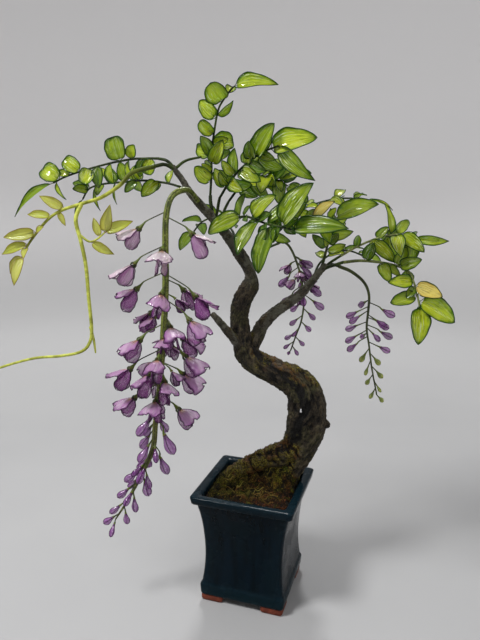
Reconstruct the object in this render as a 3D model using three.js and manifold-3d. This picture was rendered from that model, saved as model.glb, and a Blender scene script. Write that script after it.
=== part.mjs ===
/*
 * Wisteria bonsai in a glazed square pot.
 *
 * A handmade little tree: a twisted bark-covered trunk, leaflets and florets of clear resin held
 * in wire loops, hanging racemes, moss over the soil, and a waisted pot on four unglazed feet.
 *
 * Millimetres, +Z up. The pot's sides lie along X and Y. The tree is drawn in its own front view
 * (x to the right, y away from the viewer) and stands turned in the pot by TREE_TURN.
 * The origin is the middle of the whole plant's outline, on the surface that the pot stands on.
 */
import * as THREE from "three";
import { mergeVertices } from "three/addons/utils/BufferGeometryUtils.js";
import Module from "manifold-3d";

const wasm = await Module();
wasm.setup();

// ---------------------------------------------------------------- driving dimensions

const TREE_TURN = 17.5; // degrees from the pot's front to the tree's front
const SEAT_GAP = 0.35; // running gap between pieces that touch
const BLADE = 0.8; // thickness of a leaflet or a petal
const LEAF_ROOM = 5.0; // least distance that a new leaflet keeps from what already stands
const BLOOM_ROOM = 4.5; // the same between florets

const POT = {
  height: 126,
  rimHalf: 56,
  lipBottom: 117,
  baseHalf: 47,
  wall: 8,
  floor: 14, // top of the pot's floor
  footHeight: 8,
  footSize: 25,
  drainRadius: 9,
  cornerRadius: 4,
};
const SOIL_TOP = 110;
const MOSS_EDGE = 120.5; // moss height along the pot's wall

const COLOURS = {
  glaze: 0x1d3b47,
  soil: 0x3a2a1c,
  moss: 0x6f6a1f,
  bark: 0x4a3f33,
  leaf: 0x7fb414,
  youngLeaf: 0xb9b63a,
  greenStem: 0x6a7d3a,
  petal: 0x9a62ae,
  palePetal: 0xcfa3cf,
};

// ---------------------------------------------------------------- small helpers

const vec = ([x, y, z]) => new THREE.Vector3(x, y, z);
const radians = THREE.MathUtils.degToRad;

/* Numbers from 0 to 1 in a fixed order, so that the plant grows the same way each time. */
function seededDraws(seed) {
  let state = seed;
  return () => {
    state = (state * 1664525 + 1013904223) % 4294967296;
    return state / 4294967296;
  };
}

/* The route as a smooth curve through its points. */
function curveThrough(route) {
  return new THREE.CatmullRomCurve3(route.map(vec), false, "catmullrom", 0.5);
}

function unit(vector) {
  return vector.clone().normalize();
}

/* The part of a direction that is square to an axis, as a unit vector. */
function squareTo(direction, axis) {
  return direction.clone().addScaledVector(axis, -direction.dot(axis)).normalize();
}

// ---------------------------------------------------------------- solids

/* A closed body through rings of points. A ring of one point is a tip. */
function loft(rings) {
  const positions = [];
  const starts = [];
  for (const ring of rings) {
    starts.push(positions.length / 3);
    ring.forEach((p) => positions.push(p.x, p.y, p.z));
  }
  const faces = [];
  for (let r = 0; r + 1 < rings.length; r++) {
    const [n, m, a, b] = [rings[r].length, rings[r + 1].length, starts[r], starts[r + 1]];
    for (let i = 0; i < Math.max(n, m); i++) {
      const j = (i + 1) % Math.max(n, m);
      if (n > 1) faces.push(a + i, a + j, m > 1 ? b + j : b);
      if (m > 1) faces.push(n > 1 ? a + i : a, b + j, b + i);
    }
  }
  const last = rings.length - 1;
  for (let i = 1; i + 1 < rings[0].length; i++) faces.push(starts[0], starts[0] + i + 1, starts[0] + i);
  for (let i = 1; i + 1 < rings[last].length; i++) {
    faces.push(starts[last], starts[last] + i, starts[last] + i + 1);
  }
  return solidOf(positions, faces);
}

/* A solid from points and triangles, turned to face outwards. */
function solidOf(positions, faces) {
  const make = (triangles) =>
    new wasm.Manifold(
      new wasm.Mesh({
        numProp: 3,
        vertProperties: new Float32Array(positions),
        triVerts: new Uint32Array(triangles),
      }),
    );
  const made = make(faces);
  if (made.volume() > 0) return made;
  const turned = [];
  for (let i = 0; i < faces.length; i += 3) turned.push(faces[i], faces[i + 2], faces[i + 1]);
  return make(turned);
}

/* A three.js geometry as a solid. */
function solidFrom(geometry) {
  const bare = geometry.clone();
  bare.deleteAttribute("normal");
  bare.deleteAttribute("uv");
  const merged = mergeVertices(bare, 1e-4);
  return solidOf([...merged.attributes.position.array], [...merged.index.array]);
}

const join = (solids) => wasm.Manifold.union(solids);

/* The largest body of a solid: a cut can leave a loose scrap, which is dropped. */
function largest(solid) {
  return solid.decompose().reduce((a, b) => (a.volume() > b.volume() ? a : b));
}

function meshOf(name, solid, colour, roughness = 0.6) {
  const { vertProperties, triVerts, numProp } = solid.getMesh();
  const geometry = new THREE.BufferGeometry();
  const positions = new Float32Array((vertProperties.length / numProp) * 3);
  for (let i = 0; i < positions.length / 3; i++) {
    positions.set(vertProperties.subarray(i * numProp, i * numProp + 3), i * 3);
  }
  geometry.setAttribute("position", new THREE.BufferAttribute(positions, 3));
  geometry.setIndex(new THREE.BufferAttribute(new Uint32Array(triVerts), 1));
  geometry.computeVertexNormals();
  const material = new THREE.MeshStandardMaterial({ color: colour, roughness, metalness: 0 });
  const mesh = new THREE.Mesh(geometry, material);
  mesh.name = name;
  return mesh;
}

/*
 * A round body along a curve. radius(u) is its size and relief(angle, u) its surface. One of its
 * flat sides looks along `start`.
 */
function tube(curve, radius, { sides, steps, start = [0.3, 1, 0.2], relief = () => 1 }) {
  const rings = [];
  let across = squareTo(vec(start), curve.getTangent(0));
  for (let i = 0; i <= steps; i++) {
    const u = i / steps;
    const tangent = curve.getTangent(u);
    const centre = curve.getPoint(u);
    across = squareTo(across, tangent);
    const other = new THREE.Vector3().crossVectors(tangent, across);
    rings.push(
      Array.from({ length: sides }, (_, k) => {
        const angle = (2 * Math.PI * (k + 0.5)) / sides;
        const r = radius(u) * relief(angle, u);
        return centre
          .clone()
          .addScaledVector(across, r * Math.cos(angle))
          .addScaledVector(other, r * Math.sin(angle));
      }),
    );
  }
  return loft(rings);
}

/* The value at u of a list that is spread evenly from 0 to 1. */
function valueAt(values, u) {
  const place = u * (values.length - 1);
  const k = Math.min(Math.floor(place), values.length - 2);
  return THREE.MathUtils.lerp(values[k], values[k + 1], place - k);
}

/* A stem through its route, with radii that are spread evenly along it. */
function stem(route, radii, { sides = 4, start } = {}) {
  return tube(curveThrough(route), (u) => valueAt(radii, u), { sides, start, steps: route.length - 1 });
}

/* A ring of points round a line, square to it. `flat` squeezes it across the line's side. */
function ringRound(centre, out, up, radius, sides, flat = 1) {
  const side = new THREE.Vector3().crossVectors(out, up);
  return Array.from({ length: sides }, (_, k) => {
    const angle = (2 * Math.PI * (k + 0.5)) / sides;
    return centre
      .clone()
      .addScaledVector(up, radius * Math.cos(angle))
      .addScaledVector(side, radius * flat * Math.sin(angle));
  });
}

// ---------------------------------------------------------------- blades: leaflets and petals

const LEAFLET = { rows: [0.22, 0.5, 0.8], rise: 0.62, fall: 0.85, cup: 0.22 };
const SMALL_LEAFLET = { ...LEAFLET, rows: [0.3, 0.7] };
const NARROW_LEAFLET = { rows: [0.3, 0.68], rise: 0.8, fall: 1.15, cup: 0.24 };
const ROUND_LEAFLET = { rows: [0.32, 0.76], rise: 0.6, fall: 0.5, cup: 0.2 };
const BANNER = { rows: [0.38, 0.82], rise: 0.75, fall: 0.36, cup: -0.16 };
const WING = { rows: [0.38, 0.82], rise: 0.8, fall: 0.42, cup: -0.12 };

/* Half the width of an outline at s, from 0 at the root to 1 at the tip, as a share of its widest. */
function outline(kind, s) {
  const widest = kind.rise / (kind.rise + kind.fall);
  const most = widest ** kind.rise * (1 - widest) ** kind.fall;
  return (s ** kind.rise * (1 - s) ** kind.fall) / most;
}

/*
 * A point of a blade's middle surface and its normal there. The blade leaves its root along
 * `out` with its face looking along `up`, bends down in an arc and is cupped across.
 */
function bladeAt(blade, s, w) {
  const turn = blade.bend * s;
  const reach = blade.bend ? (blade.length * Math.sin(turn)) / blade.bend : blade.length * s;
  const drop = blade.bend ? (blade.length * (1 - Math.cos(turn))) / blade.bend : 0;
  const half = (blade.width / 2) * outline(blade.kind, s);
  const side = new THREE.Vector3().crossVectors(blade.up, blade.out);
  const normal = blade.up
    .clone()
    .multiplyScalar(Math.cos(turn))
    .addScaledVector(blade.out, Math.sin(turn));
  const point = blade.root
    .clone()
    .addScaledVector(blade.out, reach)
    .addScaledVector(blade.up, -drop)
    .addScaledVector(side, half * w)
    .addScaledVector(normal, blade.kind.cup * half * 2 * w * w);
  return { point, normal };
}

/* The blade as a thin closed body: both faces are split into triangles the same way. */
function bladeSolid(blade) {
  const { rows } = blade.kind;
  const places = [[0, 0], ...rows.flatMap((s) => [-1, 0, 1].map((w) => [s, w])), [1, 0]];
  const positions = [];
  for (const face of [BLADE / 2, -BLADE / 2]) {
    for (const [s, w] of places) {
      const { point, normal } = bladeAt(blade, s, w);
      point.addScaledVector(normal, face);
      positions.push(point.x, point.y, point.z);
    }
  }
  const n = places.length;
  const top = [0, 1, 2, 0, 2, 3]; // from the root to the first row
  for (let row = 1; row + 3 < n - 1; row += 3) {
    top.push(row, row + 3, row + 4, row, row + 4, row + 1);
    top.push(row + 1, row + 4, row + 2, row + 2, row + 4, row + 5);
  }
  top.push(n - 4, n - 1, n - 3, n - 3, n - 1, n - 2);
  const left = rows.map((_, k) => 1 + 3 * k);
  const right = rows.map((_, k) => 3 + 3 * k).reverse();
  const border = [0, ...left, n - 1, ...right];
  const faces = [...top];
  for (let i = 0; i < top.length; i += 3) faces.push(top[i] + n, top[i + 2] + n, top[i + 1] + n);
  border.forEach((a, k) => {
    const b = border[(k + 1) % border.length];
    faces.push(b, a, a + n, b, a + n, b + n);
  });
  return solidOf(positions, faces);
}

/* Points spread over a blade away from its root, for keeping it clear of others. */
function bladePoints(blade) {
  const points = [];
  for (const s of [0.35, 0.55, 0.75, 1]) {
    for (const w of [-0.95, -0.35, 0.35, 0.95]) points.push(bladeAt(blade, s, w).point);
  }
  return points;
}

// ---------------------------------------------------------------- room between neighbours

const taken = []; // points of all that stands already

function roomAt(points) {
  let least = Infinity;
  for (const p of points) {
    for (const q of taken) {
      const [x, y, z] = [p.x - q.x, p.y - q.y, p.z - q.z];
      least = Math.min(least, x * x + y * y + z * z);
    }
  }
  return Math.sqrt(least);
}

/* The first of some ways to place a piece that keeps clear, or the clearest of them. */
function firstClear(ways, room) {
  let best = null;
  for (const way of ways) {
    const clear = roomAt(way.points);
    if (clear >= room) {
      best = way;
      break;
    }
    if (!best || clear > best.clear) best = { ...way, clear };
  }
  taken.push(...best.points);
  return best;
}

function takeRoute(curve, steps) {
  for (let i = 1; i <= steps; i++) taken.push(curve.getPoint(i / steps));
}

/* The same for a thick stem: points round its skin. */
function takeSkin(curve, radius, steps) {
  for (let i = 0; i <= steps; i++) {
    const centre = curve.getPoint(i / steps);
    const tangent = curve.getTangent(i / steps);
    const up = squareTo(new THREE.Vector3(0.3, 1, 0.2), tangent);
    taken.push(...ringRound(centre, tangent, up, radius(i / steps), 6));
  }
}

// ---------------------------------------------------------------- trunk and wood

/* x, y, z and the radius there, from the buried foot to the leader's tip. */
const TRUNK = [
  [25, 11, 84, 12], [31, 15, 108, 12], [36, 16, 128, 12.6], [42, 15, 146, 14.2], [51, 13, 168, 17.2],
  [56, 10, 194, 19], [55, 6, 219, 18.6], [43, 3, 240, 15.4], [21, 2, 252, 13.2], [1, 5, 260, 13.6],
  [-12, 9, 273, 12.8], [-18, 8, 293, 10], [-20, 5, 313, 8.6], [-16, 2, 331, 9], [-10, 1, 345, 8.6],
  [-9, 2, 357, 5.2], [-16, 2, 371, 6.2], [-26, 1, 386, 6.2], [-36, 0, 400, 5.4], [-47, -1, 413, 4.9],
  [-59, -2, 425, 4.2], [-69, -4, 436, 3.6], [-78, -5, 450, 2.9], [-88, -6, 464, 2.3],
];
/* Woody side pieces: their route, and radius at the foot and the tip. */
const LIMBS = [
  { route: [[46, 13, 160], [30, 14, 153], [12, 15, 146], [-8, 15, 137], [-22, 14, 130], [-33, 12, 120]],
    radii: [14, 7], sides: 7 },
  { route: [[64, 7, 200], [74.5, 5, 193.5]], radii: [7, 4], sides: 5 },
  { route: [[-10, 9, 272], [0, 13, 290], [6, 17, 302], [20, 21, 315], [42, 22, 331], [53, 20, 343],
    [62, 14, 357], [69, 8, 367]], radii: [8.4, 2.6], sides: 8 },
  { route: [[-8, 8, 270], [-21, 2, 283], [-30, -5, 295], [-38, -10, 306], [-47, -16, 318]],
    radii: [5.6, 2.9], sides: 7 },
  { route: [[-86, -6, 462], [-94, -5, 469], [-103, 0, 471]], radii: [1.7, 1.4] },
  { route: [[-86, -6, 461], [-95, -10, 465], [-104, -13, 463]], radii: [2.0, 1.8] },
  { route: [[-84, -6, 462], [-75, -5, 469], [-60, -1, 473]], radii: [1.6, 1.1] },
  { route: [[-64, -2, 431], [-72, 5, 439], [-82, 13, 444]], radii: [1.7, 1.3] },
  { route: [[-47, -1, 411], [-50, 0, 426], [-51, 2, 436]], radii: [2.0, 1.7] },
  { route: [[-46, -1, 410], [-43, -7, 424], [-41, -12, 434]], radii: [1.7, 1.4] },
  { route: [[-37, 0, 401], [-32, -10, 408], [-27, -20, 414]], radii: [1.9, 1.5] },
  { route: [[-40, 0, 405], [-38, 10, 418], [-33, 20, 430]], radii: [1.7, 1.4] },
  { route: [[-9, 2, 352], [-2, 9, 371], [5, 16, 387]], radii: [2.1, 1.6] },
  { route: [[1, 12, 378], [10, 22, 392], [20, 31, 399]], radii: [1.6, 1.3] },
  { route: [[-1, 10, 373], [9, 23, 382], [19, 33, 386]], radii: [1.6, 1.3] },
  { route: [[66, 11, 362], [75, 8, 371], [84, 7, 377]], radii: [1.6, 1.3] },
  { route: [[66, 11, 362], [75, 4, 367], [86, 1, 371]], radii: [1.9, 1.6] },
  { route: [[66, 11, 362], [74, 15, 367], [84, 18, 365]], radii: [1.8, 1.5] },
  { route: [[62, 14, 356], [66, 11, 368], [68, 9, 378]], radii: [1.7, 1.4] },
];
const TRUNK_SIDES = 10;
const TRUNK_STEPS = 34;
const TRUNK_TWIST = 9; // radians that the bark's strands wind from foot to tip
/* A gap between the strands. */
const TRUNK_EYE = { at: [48.7, 8, 207], through: [0.11, 0.93, -0.35], radius: 2.4 };

const trunkRadius = (u) => valueAt(TRUNK.map(([, , , radius]) => radius), u);

/* Two fused strands with furrowed bark. */
function barkRelief(angle, u) {
  const wound = angle - TRUNK_TWIST * u;
  const strands = 0.15 * Math.cos(2 * wound) * (1 - 0.6 * u);
  const furrows = 0.045 * Math.cos(5 * wound + 2) + 0.03 * Math.cos(7 * angle + 40 * u);
  return 1 + strands + furrows + 0.03 * Math.sin(61 * u + 3 * angle);
}

/* A route made longer at both ends. */
function stretched(route, more) {
  const points = route.map(vec);
  const last = points.length - 1;
  points[0].addScaledVector(unit(points[0].clone().sub(points[1])), more);
  points[last].addScaledVector(unit(points[last].clone().sub(points[last - 1])), more);
  return points.map((p) => p.toArray());
}

/* All the wood as one body, grown by a little for the room that other pieces leave it. */
function woodSolid(grow) {
  const radius = (u) => trunkRadius(u) + grow;
  const trunk = tube(curveThrough(stretched(TRUNK, grow)), radius, {
    sides: TRUNK_SIDES,
    steps: TRUNK_STEPS,
    relief: barkRelief,
  });
  const limbs = LIMBS.map(({ route, radii, sides = 4 }) =>
    stem(stretched(route, grow), radii.map((r) => r + grow), { sides }),
  );
  return join([trunk, ...limbs]);
}

function eyeCutter() {
  const axis = unit(vec(TRUNK_EYE.through));
  const drill = new THREE.CylinderGeometry(TRUNK_EYE.radius, TRUNK_EYE.radius, 70, 7);
  drill.applyQuaternion(new THREE.Quaternion().setFromUnitVectors(new THREE.Vector3(0, 1, 0), axis));
  drill.translate(...TRUNK_EYE.at);
  return solidFrom(drill);
}

// ---------------------------------------------------------------- fronds

/*
 * Each frond is a stalk with leaflets. A leaflet is [place along the stalk, angle from it in
 * degrees (plus is to the stalk's left, seen from its face), length, turn on its own rib, width
 * as a share of the length if it isn't the frond's].
 */
const FRONDS = [
  { name: "frond_left_upper", face: [0, -1, 0.2], width: 0.6, seed: 11, bend: 34,
    route: [[-103, 0, 471], [-118, 6, 471], [-133, 9, 470], [-162, 13, 464], [-195, 15, 454],
      [-212, 15, 446]],
    leaves: [[0.09, 70, 17, 0, 0.85], [0.2, 78, 18, 40, 0.7], [0.36, -70, 15, 0, 0.8],
      [0.4, 84, 22, 45, 0.6], [0.47, -84, 25, 0, 0.9], [0.54, 80, 23, 50, 0.55], [0.67, 56, 19, 0, 0.8],
      [0.73, -60, 21, 0, 0.78], [0.91, -44, 22, 0, 0.85], [0.96, 84, 24, 60, 0.3], [1, 0, 54, 66, 0.3]] },
  { name: "shoot_left_young", face: [-0.2, -1, 0.1], width: 0.36, seed: 23, bend: 22, young: true,
    route: [[-104, -13, 463], [-125, -22, 456], [-136, -28, 444], [-152, -34, 433], [-169, -38, 427],
      [-189, -42, 420], [-202, -46, 410], [-216, -50, 392], [-223, -54, 378]], radii: [2.3, 1],
    leaves: [[0.6, -48, 27], [0.7, -40, 23], [0.64, 46, 15], [0.82, -44, 33], [0.78, 38, 15], [0.9, -46, 29],
      [0.93, 40, 17], [1, 18, 31], [1, -18, 28]],
    branches: [
      { route: [[-170, -38, 427], [-175, -42, 412], [-170, -46, 392], [-165, -50, 368], [-163, -52, 338],
        [-161, -54, 309], [-163, -56, 296], [-171, -58, 288], [-190, -60, 284], [-211, -64, 283],
        [-229, -66, 279], [-246, -70, 274], [-262, -73, 269]], radii: [2, 1.1] },
      { route: [[-162, -54, 312], [-159, -54, 297], [-158, -54, 286]], radii: [1.5, 0.8] },
      { route: [[-172, -45, 399], [-163, -44, 392], [-156, -42, 394], [-149, -40, 400]], radii: [1.2, 0.8],
        leaves: [[0.42, -34, 25], [0.8, 66, 21], [1, -12, 28], [1, 24, 31]] },
    ] },
  { name: "frond_left_lower", face: [0, -1, 0.15], width: 0.6, seed: 37, bend: 28,
    route: [[-82, 13, 444], [-99, 24, 448], [-123, 30, 450], [-145, 34, 448], [-165, 36, 446],
      [-180, 34, 441], [-187, 32, 430]],
    leaves: [[0.13, -70, 17], [0.22, 44, 25, 0, 0.62], [0.34, -58, 20], [0.36, 68, 19, 0, 0.85],
      [0.46, -80, 22], [0.56, 78, 24, 60, 0.35], [0.62, -68, 24, 50], [0.75, 64, 27, 60, 0.35],
      [0.86, -50, 18], [1, 4, 28, 60, 0.4]] },
  { name: "frond_crown_top", face: [0, -1, 0.1], width: 0.6, seed: 41, bend: 38,
    route: [[-51, 2, 436], [-50, 4, 458], [-50, 4, 478], [-47, 2, 500], [-43, 0, 519], [-35, -4, 531],
      [-29, -6, 538]],
    leaves: [[0.1, 50, 23, 0, 0.65], [0.13, -58, 18], [0.22, 84, 17, 0, 0.8], [0.24, -34, 27, 0, 0.5],
      [0.33, 80, 16, 0, 0.85], [0.4, -62, 21, 0, 0.85], [0.46, 64, 18, 0, 0.7], [0.58, 70, 24, 0, 0.62],
      [0.6, -48, 21, 50, 0.4], [0.75, 62, 22, 0, 0.95], [0.86, 20, 13, 0, 0.8], [1, -30, 42, -55, 0.42]] },
  { name: "frond_crown_upper", face: [0.1, -1, 0.3], width: 0.52, seed: 59, bend: 34,
    route: [[-41, -12, 434], [-32, -20, 448], [-22, -28, 460], [-10, -36, 470], [2, -44, 477],
      [13, -50, 481]],
    leaves: [[0.14, 60, 22], [0.2, -56, 24], [0.34, 46, 24], [0.42, -56, 26], [0.52, 32, 30],
      [0.64, 22, 38], [0.68, -50, 26], [0.86, 2, 46], [1, -46, 50, 30, 0.34]] },
  { name: "frond_crown_middle", face: [0.1, -1, 0.4], width: 0.54, seed: 67, bend: 30,
    route: [[-33, 20, 430], [-22, 14, 444], [-10, 4, 452], [2, -4, 455], [14, -10, 452], [24, -14, 447]],
    leaves: [[0.12, 64, 22], [0.18, -56, 22], [0.34, 56, 24], [0.42, -62, 27], [0.56, 42, 28],
      [0.64, -66, 27], [0.8, 44, 35], [0.86, -60, 24], [1, 0, 26]] },
  { name: "frond_crown_front", face: [0, -1, 0.35], width: 0.48, seed: 73, bend: 24,
    route: [[-27, -20, 414], [-15, -32, 417], [-4, -45, 414], [6, -58, 411], [14, -66, 410], [25, -76, 408]],
    leaves: [[0.08, 76, 26], [0.14, -160, 47], [0.3, 60, 31, 0, 0.6], [0.4, -78, 38], [0.56, 64, 38],
      [0.7, -90, 44], [0.84, 58, 49], [1, 22, 52, 0, 0.4]] },
  { name: "frond_crown_right", face: [0, -1, 0.5], width: 0.46, seed: 83, bend: 26,
    route: [[5, 16, 387], [16, 10, 400], [30, 4, 409], [46, -6, 413], [60, -14, 415], [71, -20, 416]],
    leaves: [[0.16, -66, 22], [0.22, 56, 24], [0.42, 52, 30], [0.5, -60, 24], [0.68, 40, 28], [0.78, -48, 26],
      [1, 12, 44]] },
  { name: "frond_back", face: [0.1, -0.5, 1], width: 0.5, seed: 97, bend: 40,
    route: [[20, 31, 399], [33, 39, 411], [49, 47, 424], [77, 54, 433], [100, 60, 435], [119, 64, 433]],
    leaves: [[0.12, -52, 24], [0.2, 48, 26], [0.4, -56, 20], [0.44, 54, 22], [0.62, -54, 20],
      [0.66, 52, 22], [0.84, -44, 18], [0.87, 44, 20], [1, -6, 31, 0, 0.3]] },
  { name: "frond_rear_left", face: [0.2, 0.6, 0.8], width: 0.5, seed: 101, bend: 34,
    route: [[-24, 3, 393], [-30, 20, 402], [-38, 38, 410], [-50, 54, 412], [-64, 66, 406], [-74, 74, 394]],
    leaves: [[0.28, 58, 22], [0.34, -58, 22], [0.52, 56, 26], [0.58, -56, 26], [0.78, 46, 24],
      [0.84, -46, 24], [1, 0, 28]] },
  { name: "frond_right_twig", face: [0.1, -1, 0.3], width: 0.4, seed: 109, bend: 30,
    route: [[68, 9, 378], [70, 9, 388], [72, 10, 398], [74, 11, 408]],
    leaves: [[0.12, -62, 25], [0.3, 50, 17], [0.55, -64, 25], [0.9, -46, 26], [1, 14, 18]] },
  { name: "frond_right_upper", face: [0, -1, 0.25], width: 0.48, seed: 127, bend: 34,
    route: [[84, 7, 377], [100, 5, 387], [119, 2, 396], [130, 0, 399], [141, -2, 400], [156, -4, 397]],
    leaves: [[0.34, -66, 36, 0, 0.4], [0.56, -80, 30], [0.64, 78, 36, 40, 0.32], [0.74, -88, 32, 0, 0.44],
      [0.8, -40, 32], [0.9, 24, 26, 30], [0.94, -74, 34, 0, 0.44], [1, -2, 34, 20, 0.3]] },
  { name: "frond_right_lower", face: [0, -1, 0.15], width: 0.52, seed: 131, bend: 22,
    route: [[86, 1, 371], [100, -1, 373], [113, -4, 373], [131, -9, 371], [147, -16, 366], [153, -22, 354],
      [156, -27, 342], [158, -30, 332]], radii: [1.7, 0.9],
    leaves: [[0.36, -52, 24], [0.5, 30, 24], [0.56, -44, 26], [0.7, -104, 26], [0.74, 46, 28],
      [0.85, -86, 29], [0.92, 55, 42, 0, 0.56], [0.97, 26, 28], [1, -17, 38, 0, 0.5]] },
  { name: "frond_right_rear", face: [0.1, 0.2, 1], width: 0.48, seed: 139, bend: 32,
    route: [[58, 19, 352], [66, 34, 366], [82, 46, 376], [100, 54, 378], [118, 60, 372]],
    leaves: [[0.34, 56, 22], [0.4, -56, 22], [0.62, 54, 24], [0.68, -54, 24], [0.9, -46, 22], [1, 6, 26]] },
];

/* How a leaflet may turn aside and lift, in degrees, to keep clear of its neighbours. */
const TURNS = [
  [0, 0], [0, 14], [0, -14], [12, 0], [-12, 0], [12, 24], [-12, -24], [0, 34], [0, -34], [24, 12], [-24, -12],
  [0, 55], [0, -55], [36, 0], [-36, 0],
];

/* Narrow leaflets taper to drawn-out tips, and broad ones are round at both ends. */
function leafletKind(length, wide) {
  if (wide < 0.45) return NARROW_LEAFLET;
  if (wide > 0.68) return ROUND_LEAFLET;
  return length < 33 ? SMALL_LEAFLET : LEAFLET;
}

function leafletWays(root, tangent, frond, [, angle, length, roll = 0, wide = frond.width], draws) {
  const [longer, turned, lifted, rolled] = draws;
  const up0 = squareTo(vec(frond.face), tangent);
  const size = length * (0.94 + 0.12 * longer);
  return TURNS.map(([turn, lift]) => {
    const aside = radians(angle + turn + 10 * (turned - 0.5));
    const out = tangent.clone().applyAxisAngle(up0, aside);
    const hinge = new THREE.Vector3().crossVectors(out, up0);
    const raise = radians(lift + 10 + 26 * (lifted - 0.5));
    out.applyAxisAngle(hinge, raise);
    const up = squareTo(up0.clone().applyAxisAngle(hinge, raise), out);
    up.applyAxisAngle(out, radians(roll + 36 * (rolled - 0.5)));
    const blade = {
      root, out, up, length: size, width: size * wide, bend: radians(frond.bend),
      kind: leafletKind(length, wide),
    };
    return { blade, points: bladePoints(blade) };
  });
}

function leafletsOn(route, leaves, frond, draw) {
  const curve = curveThrough(route);
  takeRoute(curve, (route.length - 1) * 4);
  return leaves.map((leaf) => {
    const root = curve.getPoint(leaf[0]);
    const tangent = curve.getTangent(leaf[0]);
    const draws = [draw(), draw(), draw(), draw()];
    const ways = leafletWays(root, tangent, frond, leaf, draws);
    return bladeSolid(firstClear(ways, LEAF_ROOM).blade);
  });
}

function frondSolid(frond) {
  const draw = seededDraws(frond.seed);
  const stalks = [frond, ...(frond.branches || [])];
  return join(
    stalks.flatMap(({ route, radii = [1.3, 0.9], leaves = [] }) => [
      stem(route, radii, { start: frond.face }),
      ...leafletsOn(route, leaves, frond, draw),
    ]),
  );
}

// ---------------------------------------------------------------- racemes

/*
 * Florets hang on stalklets round a raceme's stem: [place along it, direction round it in
 * degrees (0 to the right, 90 away from the viewer), stalklet, size, kind].
 */
const OPEN = "open";
const BUD = "bud";
const GREEN = "green";
const ROUND = [0, 12, -12, 24, -24, 38, -38, 54, -54, 75, -75]; // turns that may bring a floret clear
const STALKLET = 0.7; // radius of a floret's stalklet
const GREEN_SPLAY = 38; // degrees that a raceme's unripe buds lean from its stem
const CUP = 3; // length of the cup at its end
const MAIN_RACEME = {
  name: "raceme_main",
  route: [[-63, -5, 430], [-70, -14, 440], [-79, -24, 440], [-87, -30, 433], [-91, -34, 416], [-92, -34, 390],
    [-92, -34, 361], [-93, -34, 330], [-95, -34, 300], [-97, -34, 271], [-100, -34, 240], [-104, -34, 209],
    [-107, -34, 180], [-116, -34, 158], [-126, -34, 137], [-137, -34, 116], [-148, -34, 98]],
  radii: [2.6, 3.1, 3.2, 2.8, 0.9], splay: 32,
  florets: [
    [0.235, 175, 34, 25, OPEN], [0.25, -12, 32, 27, OPEN], [0.305, -95, 17, 28, OPEN],
    [0.315, 186, 38, 27, OPEN], [0.37, 176, 36, 26, OPEN], [0.375, -22, 40, 27, OPEN],
    [0.385, 40, 26, 25, OPEN], [0.395, -100, 16, 27, OPEN], [0.425, -30, 36, 28, OPEN],
    [0.435, 150, 22, 25, OPEN], [0.455, -65, 20, 26, OPEN], [0.475, 200, 30, 27, OPEN],
    [0.485, 20, 24, 26, OPEN], [0.5, 100, 20, 24, OPEN], [0.51, -20, 30, 27, OPEN],
    [0.525, -100, 19, 26, OPEN], [0.53, 190, 40, 27, OPEN], [0.55, 212, 26, 25, OPEN],
    [0.56, 5, 26, 26, OPEN], [0.575, -70, 18, 25, OPEN], [0.59, 120, 20, 24, OPEN],
    [0.605, 180, 32, 25, OPEN], [0.62, -100, 15, 25, OPEN], [0.63, -15, 26, 25, OPEN],
    [0.66, 200, 14, 20, BUD], [0.68, -10, 20, 22, BUD], [0.7, 150, 15, 18, BUD], [0.72, 210, 13, 18, BUD],
    [0.74, -10, 17, 18, BUD], [0.77, 120, 13, 17, BUD], [0.785, -90, 10, 17, BUD], [0.8, 190, 14, 16, BUD],
    [0.83, 10, 12, 17, BUD], [0.86, 185, 14, 14, BUD], [0.89, -20, 9, 14, BUD], [0.92, 190, 12, 13, BUD],
    [0.945, 0, 9, 12, BUD], [0.975, 170, 9, 13, BUD], [1, -60, 5, 13, BUD],
  ],
};
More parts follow.
